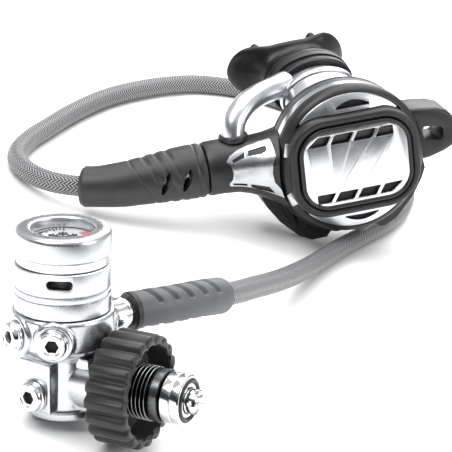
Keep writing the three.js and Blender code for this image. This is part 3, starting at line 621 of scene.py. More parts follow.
def curve_through(points: Sequence[Point3], steps: int) -> list[Vector]:
    """A centripetal Catmull-Rom curve through points, with so many steps between each two."""
    spots = [Vector(point) for point in points]
    spots = [2 * spots[0] - spots[1], *spots, 2 * spots[-1] - spots[-2]]
    path = []
    for before, start, end, after in zip(spots, spots[1:], spots[2:], spots[3:]):
        knots = [0.0]
        for one, other in ((before, start), (start, end), (end, after)):
            knots.append(knots[-1] + math.sqrt((other - one).length))
        for step in range(steps):
            t = knots[1] + (knots[2] - knots[1]) * step / steps
            first = before.lerp(start, (t - knots[0]) / (knots[1] - knots[0]))
            second = start.lerp(end, (t - knots[1]) / (knots[2] - knots[1]))
            third = end.lerp(after, (t - knots[2]) / (knots[3] - knots[2]))
            left = first.lerp(second, (t - knots[0]) / (knots[2] - knots[0]))
            right = second.lerp(third, (t - knots[1]) / (knots[3] - knots[1]))
            path.append(left.lerp(right, (t - knots[1]) / (knots[2] - knots[1])))
    path.append(spots[-2])
    return path


def lengths(path: Sequence[Vector]) -> list[float]:
    """The distance along a path of each of its points."""
    total = [0.0]
    for one, other in zip(path, path[1:]):
        total.append(total[-1] + (other - one).length)
    return total


def spaced(path: Sequence[Vector], step: float) -> list[Vector]:
    """The same path with its points about one step apart."""
    along = lengths(path)
    count = max(2, round(along[-1] / step))
    result, j = [], 0
    for i in range(count + 1):
        target = along[-1] * i / count
        while j < len(path) - 2 and along[j + 1] < target:
            j += 1
        share = (target - along[j]) / max(along[j + 1] - along[j], 1e-9)
        result.append(path[j].lerp(path[j + 1], min(max(share, 0.0), 1.0)))
    return result


def stretch(path: Sequence[Vector], start: float, end: float) -> list[Vector]:
    """The part of a path between two distances along it."""
    along = lengths(path)

    def at(target: float) -> Vector:
        """The point at a distance."""
        j = next((i for i in range(len(path) - 1) if along[i + 1] >= target), len(path) - 2)
        return path[j].lerp(path[j + 1], (target - along[j]) / (along[j + 1] - along[j]))

    inside = [point for point, distance in zip(path, along) if start < distance < end]
    return [at(start), *inside, at(end)]


def swept(
    name: str,
    path: Sequence[Vector],
    girth: Girth,
    sides: int,
    bore: Girth | None = None,
    up: Vector = Vector((0, 0, 1)),
) -> bpy.types.Object:
    """Sweep a section along a path, with a map called sleeve on its outside.

    Args:
        name: The piece's name.
        path: The centre line.
        girth: The outer radius at a distance along the path and an angle round it.
        sides: How many sides go round it.
        bore: The inner radius, or nothing for a solid end.
        up: Where angle 90 degrees points at the path's start.

    Returns:
        The piece.
    """
    along = lengths(path)
    count = len(path)
    tangents = [(path[min(i + 1, count - 1)] - path[max(i - 1, 0)]).normalized() for i in range(count)]
    upward = (up - tangents[0] * up.dot(tangents[0])).normalized()
    rings: list[list[Vector]] = []
    inner: list[list[Vector]] = []
    for point, tangent, distance in zip(path, tangents, along):
        upward = (upward - tangent * upward.dot(tangent)).normalized()
        side = upward.cross(tangent)
        angles = [2 * math.pi * i / sides for i in range(sides)]
        spokes = [side * math.cos(angle) + upward * math.sin(angle) for angle in angles]
        rings.append([point + spoke * girth(distance, angle) for spoke, angle in zip(spokes, angles)])
        if bore is not None:
            inner.append([point + spoke * bore(distance, angle) for spoke, angle in zip(spokes, angles)])
    loops = rings + inner[::-1]
    vertices = [vertex for loop in loops for vertex in loop]
    spans = [(i, i + 1) for i in range(len(loops) - 1)]
    if bore is not None:
        spans.append((len(loops) - 1, 0))
    faces = [
        (low * sides + i, low * sides + (i + 1) % sides, high * sides + (i + 1) % sides, high * sides + i)
        for low, high in spans
        for i in range(sides)
    ]
    side_faces = len(faces)
    if bore is None:
        faces += [tuple(range(sides))[::-1], tuple(range((count - 1) * sides, count * sides))]
    mesh = bpy.data.meshes.new(name)
    mesh.from_pydata([tuple(vertex) for vertex in vertices], [], faces)
    chart = mesh.uv_layers.new(name="sleeve")
    along_loops = along + along[::-1]
    for index, face in enumerate(mesh.polygons):
        for corner in face.loop_indices:
            vertex = mesh.loops[corner].vertex_index
            around = (vertex % sides) / sides
            if index < side_faces and index % sides == sides - 1 and vertex % sides == 0:
                around = 1.0
            chart.data[corner].uv = (around, along_loops[min(vertex // sides, len(along_loops) - 1)])
    obj = bpy.data.objects.new(name, mesh)
    bpy.context.scene.collection.objects.link(obj)
    with editing(obj):
        bpy.ops.mesh.select_all(action="SELECT")
        bpy.ops.mesh.normals_make_consistent(inside=False)
    return smooth(obj, 40)


# ---------------------------------------------------------------- studio


@dataclass
class Studio:
    """Camera, floor and lights."""

    lens: float = 172.04
    at: Point3 = (-101.29, -937.36, 435.7)
    right: Point3 = (0.97413, 0.0, 0.22588)
    up: Point3 = (-0.20721, 0.39801, 0.89367)
    facing: float = 0.0
    glow: float = 0.75
    panels: tuple = (
        (0.0, 0x2A2B2D),
        (0.12, 0x3A3B3D),
        (0.2, 0xF4F4F5),
        (0.34, 0xFFFFFF),
        (0.42, 0x77787B),
        (0.5, 0x6A6B6E),
        (0.57, 0xFFFFFF),
        (0.72, 0xF0F0F1),
        (0.79, 0x4A4B4E),
        (1.0, 0x2A2B2D),
    )

    def camera(self) -> None:
        """A long lens from the front, a little above, rolled to the right."""
        made = started("camera", bpy.ops.object.camera_add)
        made.data.lens = self.lens
        made.data.sensor_width = 36
        made.data.clip_start = 0.01
        made.data.clip_end = 50
        right, up = Vector(self.right).normalized(), Vector(self.up).normalized()
        matrix = Matrix((right, up, right.cross(up))).transposed().to_4x4()
        matrix.translation = Vector(self.at) * MM
        made.matrix_world = matrix
        bpy.context.scene.camera = made

    def floor(self) -> None:
        """A wide pale floor."""
        made = started("floor", bpy.ops.mesh.primitive_plane_add, size=12, location=(0, 0, -0.0002))
        bpy.ops.object.transform_apply(location=True, rotation=True, scale=True)
        paper = Finish("matt_paper_white", 0xFEFEFE, 0xFCFCFC, 0.9, grain_depth=0.001 * MM)
        made.data.materials.append(paper.build())
        made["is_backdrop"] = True

    def lights(self) -> None:
        """Soft boxes above and on both sides, in a pale room that is darker low down."""
        world = bpy.data.worlds.new("pale_room")
        bpy.context.scene.world = world
        world.use_nodes = True
        tree = world.node_tree
        tree.nodes.clear()
        aim = node(tree, "TexCoord").outputs["Generated"]
        turn = node(tree, "Mapping", None, Vector=aim, Rotation=(0, 0, math.radians(-90 - self.facing)))
        around = node(tree, "TexGradient", {"gradient_type": "RADIAL"}, Vector=turn.outputs["Vector"])
        panels = node(tree, "ValToRGB", {"stops": self.panels}, Fac=around.outputs["Fac"])
        sky = node(tree, "SeparateXYZ", None, Vector=aim)
        height = node(tree, "MapRange", None, Value=sky.outputs["Z"], From_Min=0.35, From_Max=0.8)
        dome = node(tree, "RGB")
        dome.outputs["Color"].default_value = linear(0xF2F3F4)
        shade = node(
            tree,
            "MixRGB",
            None,
            Fac=height.outputs["Result"],
            Color1=panels.outputs["Color"],
            Color2=dome.outputs["Color"],
        )
        room = node(tree, "Background", None, Color=shade.outputs["Color"], Strength=self.glow)
        output = node(tree, "OutputWorld")
        tree.links.new(room.outputs["Background"], output.inputs["Surface"])
        boxes = [
            ("key_box", (-0.8, -0.5, 1.2), 0.8, 14.0),
            ("fill_box", (1.1, -0.6, 0.7), 0.6, 7.0),
            ("top_box", (0.0, 0.5, 1.6), 1.8, 34.0),
            ("rim_box", (0.3, 1.5, 0.7), 0.9, 10.0),
        ]
        for name, spot, size, power in boxes:
            made = started(name, bpy.ops.object.light_add, type="AREA", location=spot)
            made.data.shape = "SQUARE"
            made.data.size = size
            made.data.energy = power
            aim = Vector((0, 0, 0.04)) - Vector(spot)
            made.rotation_euler = aim.to_track_quat("-Z", "Y").to_euler()

    def build(self) -> None:
        """Set up the studio."""
        bpy.context.scene.view_settings.view_transform = "Standard"
        self.camera()
        self.floor()
        self.lights()


# ---------------------------------------------------------------- hose

# The hose's centre line, from the first stage's fitting to the second's, before the origin moves.
FOOTPRINT_MIDDLE = Vector((0.07069, 0.14206, 0))
HOSE_ROUTE = [
    (0.0182, 0.0218, 0.0429),
    (0.0266, 0.0277, 0.044),
    (0.0348, 0.0334, 0.0445),
    (0.049, 0.0466, 0.0444),
    (0.059, 0.0605, 0.0414),
    (0.0675, 0.078, 0.0366),
    (0.076, 0.099, 0.0306),
    (0.085, 0.121, 0.0242),
    (0.0945, 0.1445, 0.0179),
    (0.104, 0.1685, 0.0122),
    (0.1135, 0.1915, 0.0079),
    (0.1235, 0.2135, 0.0058),
    (0.1345, 0.2335, 0.0053),
    (0.146, 0.2525, 0.0053),
    (0.158, 0.274, 0.0053),
    (0.168, 0.299, 0.0053),
    (0.1725, 0.327, 0.0053),
    (0.17, 0.356, 0.0053),
    (0.159, 0.384, 0.0053),
    (0.139, 0.409, 0.0053),
    (0.111, 0.4275, 0.0053),
    (0.08, 0.4355, 0.0053),
    (0.053, 0.429, 0.0053),
    (0.0335, 0.4145, 0.0053),
    (0.0155, 0.395, 0.0053),
    (-0.0015, 0.371, 0.0053),
    (-0.017, 0.34, 0.0053),
    (-0.03, 0.307, 0.0053),
    (-0.0395, 0.28, 0.0053),
    (-0.043, 0.261, 0.0053),
    (-0.0412, 0.247, 0.0057),
    (-0.0334, 0.2323, 0.0073),
    (-0.0202, 0.2206, 0.0102),
    (-0.003, 0.2152, 0.0144),
    (0.0139, 0.2166, 0.0192),
    (0.0189, 0.2179, 0.0209),
    (0.024, 0.2193, 0.0226),
]


def between(value: float, low: float, high: float) -> float:
    """A smooth step from 0 at low to 1 at high."""
    share = min(max((value - low) / (high - low), 0.0), 1.0)
    return share * share * (3 - 2 * share)


@dataclass
class Hose:
    """The low-pressure hose, its two rubber protectors and its metal ends."""

    diameter: float = 10.5 * MM
    first_length: float = 55 * MM
    first_radius: float = 8.1 * MM
    notches: int = 5
    second_reach: float = 33 * MM
    route: list[Vector] = field(default_factory=list)

    def build(self) -> None:
        """Make the hose first, and then what is on it."""
        shifted = [Vector(point) - FOOTPRINT_MIDDLE for point in HOSE_ROUTE]
        self.route = spaced(curve_through(shifted, 12), 1.6 * MM)
        hose = swept("hose_braided", self.route, lambda s, a: self.diameter / 2, 32)
        fit(hose, BRAID_PAINTED_SHEEN, ROW, Body.FIRST_STAGE, Slot.RUBBER, ["hose"])
        first = self.first_protector()
        second = self.second_protector()
        nut, collar = self.first_fitting()
        swivel = self.second_fitting()
        tuple(self.route[0])
        lengths(self.route)[-1]
        [tuple(point) for point in self.route]

    def first_protector(self) -> bpy.types.Object:
        """The grey sleeve: smooth on its sides, notched aslant along its top and its bottom."""
        path = spaced(stretch(self.route, 0.3 * MM, self.first_length), 0.45 * MM)
        total = lengths(path)[-1]
        pitch = (total - 16 * MM) / self.notches

        def girth(distance: float, angle: float) -> float:
            """The sleeve's radius, with its rounded ends and its notches."""
            end = min(distance, total - distance)
            radius = self.first_radius - 1.2 * MM * (1 - between(end, 0, 1.4 * MM))
            for middle in (math.pi / 2, 3 * math.pi / 2):
                off = abs(angle - middle)
                across = between(math.radians(52) - off, 0, math.radians(9))
                slanted = distance - 7 * MM - (angle - middle) * 3.2 * MM
                phase = slanted / pitch
                if 0 <= phase <= self.notches:
                    part = phase - math.floor(phase)
                    cut = between(part, 0.1, 0.16) * (1 - between(part, 0.34, 0.56))
                    radius -= 1.7 * MM * cut * across
            return radius

        sleeve = swept("hose_protector_grey", path, girth, 96, lambda s, a: self.diameter / 2 + 0.15 * MM)
        fit(sleeve, GREY_TPR, ROW, Body.FIRST_STAGE, Slot.GREY_RUBBER, ["first_hose_protector"])

        def rolled(distance: float, angle: float) -> float:
            """The lip's radius, drawn in at its two ends."""
            inner = 1 - between(min(distance, 3.3 * MM - distance), 0, 0.6 * MM)
            return self.first_radius + 0.25 * MM - 0.5 * MM * inner

        lip = spaced(stretch(self.route, 0.1 * MM, 3.4 * MM), 0.55 * MM)
        band = swept(
            "hose_protector_lip",
            lip,
            rolled,
            64,
            lambda s, a: self.first_radius - 1.5 * MM,
        )
        fit(band, ELASTOMER, ROW, Body.FIRST_STAGE, Slot.RUBBER)
        band.parent = sleeve
        return sleeve

    def second_protector(self) -> bpy.types.Object:
        """The black sleeve: a tapered bell with two leaf-shaped windows, and a neck round the bend."""
        straight = [VALVE @ Vector((0, 0, x)) for x in (-74.6, -90, -103.9)]
        total = lengths(self.route)[-1]
        bent = stretch(self.route, total - self.second_reach, total)[::-1]
        path = spaced(straight + bent[1:], 0.5 * MM)
        whole = lengths(path)[-1]

        def girth(distance: float, angle: float) -> float:
            """The bell's taper, its rolled mouth, a step and the pleats between the windows."""
            d = distance / MM
            radius = 14.0 - 2.5 * between(d, 6, 46) - 1.1 * between(d, 40, 58)
            radius -= 0.9 * (1 - between(d, 0, 1.6)) + 1.0 * (1 - between(whole / MM - d, 0, 1.6))
            radius -= 0.45 * between(d, 3.4, 3.9) * (1 - between(d, 4.3, 4.9))
            slant = d - 5.5 * math.sin(angle)
            for middle in (12.5, 18.5, 24.5):
                radius -= 0.5 * between(2.2 - abs(slant - middle), 0, 2.2) * between(d, 6, 10)
            radius -= 0.4 * between(0.9 - abs(slant - 32), 0, 0.9)
            return radius * MM

        def bore(distance: float, angle: float) -> float:
            """Wide over the nut, then close round the hose."""
            return (8.6 - 3.2 * between(distance / MM, 28, 31)) * MM

        sleeve = swept("hose_protector_black", path, girth, 96, bore, up=SECOND.to_3x3() @ Vector((0, 0, 1)))
        for along in (-85.5, -96.5):
            leaf = [(x, z) for x, z in [*arc(1, 0, 360, 24)][:-1]]
            outline = [(along + 0.42 * 5.6 * z + 1.9 * x, 4.1 + 5.6 * z) for x, z in leaf]
            window = moved(sheet_cut("window", outline, -6, 8), SECOND)
            carve(sleeve, window)
        smooth(sleeve, 40)
        fit(sleeve, NYLON_SOFT, ROW, Body.FIRST_STAGE, Slot.RUBBER, ["second_hose_protector"])
        return sleeve

    def first_fitting(self) -> tuple[bpy.types.Object, bpy.types.Object]:
        """The hexagon nut at the port and the crimped collar behind it."""
        place = port(HOSE_PORT_ANGLE, LOW_PORT_HEIGHT)
        hexagon = [(2.6, 22.6), (7.5, 22.6), (7.5, 27.8), (2.6, 27.8), (2.6, 22.6)]
        nut = soften(turned("hose_nut", hexagon, 6), 0.5)
        fit(nut, CHROME, place, Body.FIRST_STAGE, Slot.BRIGHT, ["first_hose_fitting"])
        profile = [(2.6, 16.5), (4.7, 16.5), (4.7, 22.5), (6.9, 22.6), (6.9, 28.4), (6.2, 28.8), (6.2, 31.1)]
        collar = soften(turned("hose_collar", [*profile, (2.6, 31.1), (2.6, 16.5)], 64), 0.25)
        fit(collar, CHROME, place, Body.FIRST_STAGE, Slot.BRIGHT)
        return nut, collar

    def second_fitting(self) -> list[bpy.types.Object]:
        """The swivel nut and the crimped ferrule, seen through the protector's windows."""
        ferrule = [(2.6, -103.7), (6.9, -103.7), (7.3, -103.2), (7.3, -101), (6.8, -100.6), (6.8, -98.4)]
        ferrule += [(7.3, -98), (7.3, -95), (6.8, -94.6), (6.8, -92.4), (7.3, -92), (7.3, -90.4), (6, -90)]
        ferrule += [(6, -72.3), (2.6, -72.3), (2.6, -103.7)]
        sleeve = soften(turned("swivel_ferrule", ferrule, 64), 0.2)
        fit(sleeve, SATIN_VALVE, VALVE, Body.FIRST_STAGE, Slot.BRIGHT, ["second_hose_fitting"])
        hexagon = [(6.1, -89.6), (8, -89.6), (8, -76.4), (6.1, -76.4), (6.1, -89.6)]
        nut = soften(turned("swivel_nut", hexagon, 6), 0.5)
        fit(nut, CHROME, VALVE, Body.FIRST_STAGE, Slot.BRIGHT)
        return [sleeve, nut]


# ---------------------------------------------------------------- first stage


@dataclass
class FirstStage:
    """The turret, its plugs and its DIN inlet."""

    turret: float = 20.0
    plug_ports: tuple = (
        (-70, "low_pressure_plug_front"),
        (-119, "low_pressure_plug_left"),
        (112, "low_pressure_plug_rear"),
    )
    high_ports: tuple = ((-100, "high_pressure_plug_front"), (100, "high_pressure_plug_rear"))
    lobes: int = 20

    def build(self) -> None:
        """Make every piece of the first stage."""
        self.casting()
        self.foot()
        self.housing()
        self.cap()
        self.dial()
        for angle, name in self.plug_ports:
            self.plug(name, 22.3, 6.5, 5.7, port(angle, LOW_PORT_HEIGHT))
        for angle, name in self.high_ports:
            self.plug(name, 18.6, 6.9, 6.1, port(angle, HIGH_PORT_HEIGHT))
        self.inlet()
        self.handwheel()

    def casting(self) -> None:
        """The body: a drum of ports over a waisted block, all run into each other."""
        profile = [(13.6, 4.6), (15.4, 5.2), (15.4, 26), (16.6, 29), (19.2, 30.2), (21.4, 32.4)]
        body = turned("turret_body", [*profile, (21.5, 44.4), (20.6, 45.4)], 96)
        shapes = []
        for angle in (HOSE_PORT_ANGLE, *[angle for angle, _ in self.plug_ports]):
            boss = turned("boss", [(8.6, 12), (8.6, 21.2), (7.6, 22.2)], 48)
            local = FIRST.inverted() @ port(angle, LOW_PORT_HEIGHT)
            shapes.append(moved(boss, local))
        for angle, _ in self.high_ports:
            cheek = block("cheek", (8.6, 16.4, 21.4), (14.1, 0, 16.1))
            shapes.append(moved(cheek, Matrix.Rotation(math.radians(angle), 4, "Z")))
        hub = turned("hub", [(12.6, 4), (12.6, 20.4), (11.6, 21.4)], 64)
        shapes.append(moved(hub, FIRST.inverted() @ INLET))
        shoulder = block("shoulder", (15.6, 19, 22.6), (9.6, 0, 16.7))
        shapes.append(shoulder)
        for shape in shapes:
            carve(body, shape, "UNION")
        melt(body, 0.42, 5)
        fit(body, SATIN_TURRET, FIRST, Body.FIRST_STAGE, Slot.SATIN, ["first_stage_body"])

    def foot(self) -> None:
        """The base plug, with its hexagon socket underneath."""
        profile = [(13.7, 0.02), (14.5, 0.7), (14.5, 3.4), (13.9, 4), (12.6, 4.3), (12.6, 6)]
        foot = turned("base_plug_face", profile, 96)
        carve(foot, turned("socket", [(4.6, -1), (4.6, 3)], 6))
        soften(foot, 0.25)
        fit(foot, SATIN_TURRET, FIRST, Body.FIRST_STAGE, Slot.SATIN, ["base_plug"])

    def housing(self) -> None:
        """The spring housing: two fine grooves and three slots to the water."""
        r = self.turret
        profile = [(17.4, 45.7), (19.6, 45.7), (r, 46.1), (r, 52.3), (19.1, 52.6), (19.1, 53.1)]
        profile += [(r, 53.4), (r, 55.2)]
        profile += [(19.1, 55.5), (19.1, 56), (r, 56.3), (r, 65.0), (19.5, 65.4), (15.6, 65.4), (15.6, 47.3)]
        profile += [(17.4, 47.3), (17.4, 45.7)]
        housing = turned("spring_housing_skin", profile, 128)
        for angle in (-64, 56, 176):
            slot = sheet_cut("slot", rounded(10.8, 3.8, 1.88, (0, 61.2)), -23, -12)
            carve(housing, moved(slot, Matrix.Rotation(math.radians(angle + 90), 4, "Z")))
        soften(housing, 0.3)
        fit(housing, SATIN_TURRET, FIRST, Body.FIRST_STAGE, Slot.SATIN, ["spring_housing"])

    def cap(self) -> None:
        """The end cap, domed over its edge and bored out over the dial."""
        profile = [(15.6, 65.7), (19.0, 65.7), (19.2, 66), (19.2, 69.4), (19.6, 69.7), (20, 70.2), (20, 77.6)]
        profile += [(19.8, 78.6), (19.1, 79.5), (18, 79.95), (14.2, 80), (13.5, 79.8), (13.1, 79.3)]
        profile += [(13.1, 75.6)]
        profile += [(15, 75.5), (15, 73.5), (14, 73.5), (14, 70.5), (15.6, 70.5), (15.6, 65.7)]
        cap = turned("end_cap_skin", profile, 128)
        soften(cap, 0.25)
        fit(cap, SATIN_TURRET, FIRST, Body.FIRST_STAGE, Slot.SATIN, ["end_cap"])

    def dial(self) -> None:
        """The pale label over the seal: an ice crystal, a rose arc and a row of fine marks."""
        seal = turned("seal_disc", [(14.6, 73.8), (14.6, 74.9), (13, 75.3)], 96)
        soften(seal, 0.2)
        fit(seal, LABEL, FIRST, Body.FIRST_STAGE, Slot.SILICONE, ["outer_diaphragm"])
        bars = []
        for arm in range(6):
            turn = Matrix.Rotation(math.radians(60 * arm), 4, "Z")
            bars.append(moved(block("bar", (6.4, 0.8, 0.3), (3.5, 0, 75.42)), turn))
            for side in (-1, 1):
                for reach, size in ((2.6, 2.2), (4.6, 2.0)):
                    twig = block("bar", (size, 0.7, 0.3), (size / 2, 0, 0))
                    fork = Matrix.Rotation(math.radians(58 * side), 4, "Z")
                    tilt = Matrix.Translation((reach, 0, 75.42)) @ fork
                    bars.append(moved(twig, turn @ tilt))
        for mark in range(16):
            turn = Matrix.Rotation(math.radians(118 + 8 * mark), 4, "Z")
            size = 2.6 if mark % 3 == 0 else 1.6
            bars.append(moved(block("bar", (size, 0.6, 0.3), (11.6 - size / 2, 0, 75.42)), turn))
        self.gather("dial_crystal", bars, LABEL_DARK)
        start, end = -10, 70
        outline = arc(12.4, start, end, 24) + arc(8.6, end, start, 24)
        rose = sheet_cut("bar", outline, -75.5, -75.25)
        self.gather("dial_arc", [moved(rose, Matrix.Rotation(math.radians(-90), 4, "X"))], LABEL_ROSE)

    def gather(self, name: str, shapes: Sequence[bpy.types.Object], finish: Finish) -> None:
        """Join the dial's raised marks into one piece."""
        bpy.ops.object.select_all(action="DESELECT")
        for shape in shapes:
            shape.select_set(True)
        bpy.context.view_layer.objects.active = shapes[0]
        if len(shapes) > 1:
            bpy.ops.object.join()
        shapes[0].name = name
        fit(shapes[0], finish, FIRST, Body.FIRST_STAGE, Slot.SILICONE)

    def plug(self, name: str, face: float, washer: float, head: float, place: Matrix) -> None:
        """A port plug: a washer, a stepped round head and a hexagon socket, with a disc of painted shade at
        the socket's floor.
        """
        profile = [(washer, face + 0.05), (washer, face + 1.7), (head + 0.15, face + 1.9), (head, face + 3.3)]
        profile += [(head - 0.5, face + 4.0), (3.9, face + 4.1), (3.7, face + 3.6)]
        plug = turned(name + "_head", profile, 64)
        carve(plug, turned("socket", [(2.9, face + 0.9), (2.9, face + 5)], 6))
        soften(plug, 0.22)
        fit(plug, CHROME, place, Body.FIRST_STAGE, Slot.BRIGHT, [name])
        # Painted shade: a near-black disc at the bottom of the socket.
        socket_shade = turned(name + "_socket_floor", [(2.7, face + 0.7), (2.7, face + 1.3), (1.6, face + 1.5)], 24)
        fit(soften(socket_shade, 0.1), PAINTED_SHADE, place, Body.FIRST_STAGE, Slot.PLASTIC)

    def inlet(self) -> None:
        """The DIN retainer, its seal, the filter and the clip that holds it."""
        profile = [(2.6, 9), (5.6, 9), (5.6, 22.1), (7.8, 22.1), (7.8, 49.9), (10.2, 49.9), (10.7, 50.4)]
        profile += [(10.7, 54.2), (10.5, 54.4), (10.5, 54.7), (10.7, 54.9), (10.7, 58.1), (10.2, 58.7)]
        profile += [(9.3, 58.7), (9.2, 58.2), (9.2, 57.5), (7.2, 57.5), (7.2, 58.5), (7, 58.7), (5.8, 58.7)]
        profile += [(5.6, 58.5), (5.6, 53), (2.6, 53)]
        retainer = soften(turned("din_retainer_skin", [*profile, (2.6, 9)], 96), 0.15)
        fit(retainer, CHROME_INLET, INLET, Body.FIRST_STAGE, Slot.BRIGHT, ["din_retainer"])
        section = [(8.2 + 0.95 * x, 58.5 + 0.95 * z) for x, z in arc(1, 0, 360, 14)]
        section[-1] = section[0]
        ring = smooth(turned("din_seal", section, 96), 60)
        fit(ring, GLOSS_ELASTOMER, INLET, Body.FIRST_STAGE, Slot.RUBBER, ["din_o_ring"])
        filter_disc = turned("inlet_filter_face", [(5.3, 53.3), (5.3, 56.7), (3, 57), (1.5, 57.1)], 48)
        fit(smooth(filter_disc), BRASS, INLET, Body.FIRST_STAGE, Slot.BRASS, ["inlet_filter"])
        clip = turned(
            "filter_clip",
            [(2.3, 57.3), (5.2, 57.3), (5.2, 63), (4.8, 63.4), (3.3, 63.4), (2.7, 62.9), (2.3, 57.3)],
            64,
        )
        for turn in (20, 80, 140):
            slot = block("slot", (14, 2.2, 4.6), (0, 0, 63.3))
            carve(clip, moved(slot, Matrix.Rotation(math.radians(turn), 4, "Z")))
        soften(clip, 0.25)
        fit(clip, CHROME_INLET, INLET, Body.FIRST_STAGE, Slot.BRIGHT, ["filter_retainer"])

    def handwheel(self) -> None:
        """The lobed rubber wheel and the sleeve with its thread, which turn together."""
        profile = [(11.4, 22.4), (21.8, 22.4), (23.4, 23), (24, 24.2), (24, 39.6), (23.4, 40.8), (22, 41.3)]
        profile += [(20.6, 41.3), (19.7, 40.6), (19.5, 39.6), (19.5, 30.4), (18.7, 29.6), (12.2, 29.5)]
        profile += [(11.4, 28.9)]
        wheel = turned("handwheel_grip", [*profile, (11.4, 22.4)], self.lobes * 16)
        for vertex in wheel.data.vertices:
            reach = math.hypot(vertex.co.x, vertex.co.y)
            angle = math.atan2(vertex.co.y, vertex.co.x)
            wave = (0.5 - 0.5 * math.cos(self.lobes * angle)) ** 2.2
            shrink = 1 - 2.1 * wave * between(reach, 19.6, 21.6) / max(reach, 1)
            vertex.co.x *= shrink
            vertex.co.y *= shrink
        smooth(wheel, 50)
        fit(wheel, ELASTOMER, INLET, Body.HANDWHEEL, Slot.RUBBER, ["handwheel"])
        root, crest, pitch = 10.3, 11.45, 1.814
        profile = [(8.1, 22.6), (11.1, 22.6), (11.1, 29.4), (root, 30)]
        for turn in range(8):
            start = 30 + turn * pitch
            profile += [(root, start + 0.3), (crest - 0.1, start + 0.8)]
            profile += [(crest, start + 0.95), (crest - 0.1, start + 1.1)]
            profile += [(root, start + 1.6)]
        profile += [(root, 45), (11.0, 45.3), (11.2, 45.6), (11.2, 48.9), (10.8, 49.5), (8.1, 49.5)]
        profile += [(8.1, 22.6)]
        sleeve = smooth(turned("din_thread", profile, 96), 25)
        fit(sleeve, THREAD, INLET, Body.HANDWHEEL, Slot.GREY, ["din_threaded_sleeve"])


# ---------------------------------------------------------------- second stage


def dome(radius: float) -> float:
    """How far in front of the rim the cover stands, at a distance from its middle."""
    knots = [(0, -10.2), (18, -9.4), (29, -7.2), (35, -4.9), (37.6, -3.2), (39.1, -0.6)]
    for (inner, front), (outer, back) in zip(knots, knots[1:]):
        if radius <= outer:
            return front + (back - front) * (radius - inner) / (outer - inner)
    return knots[-1][1]


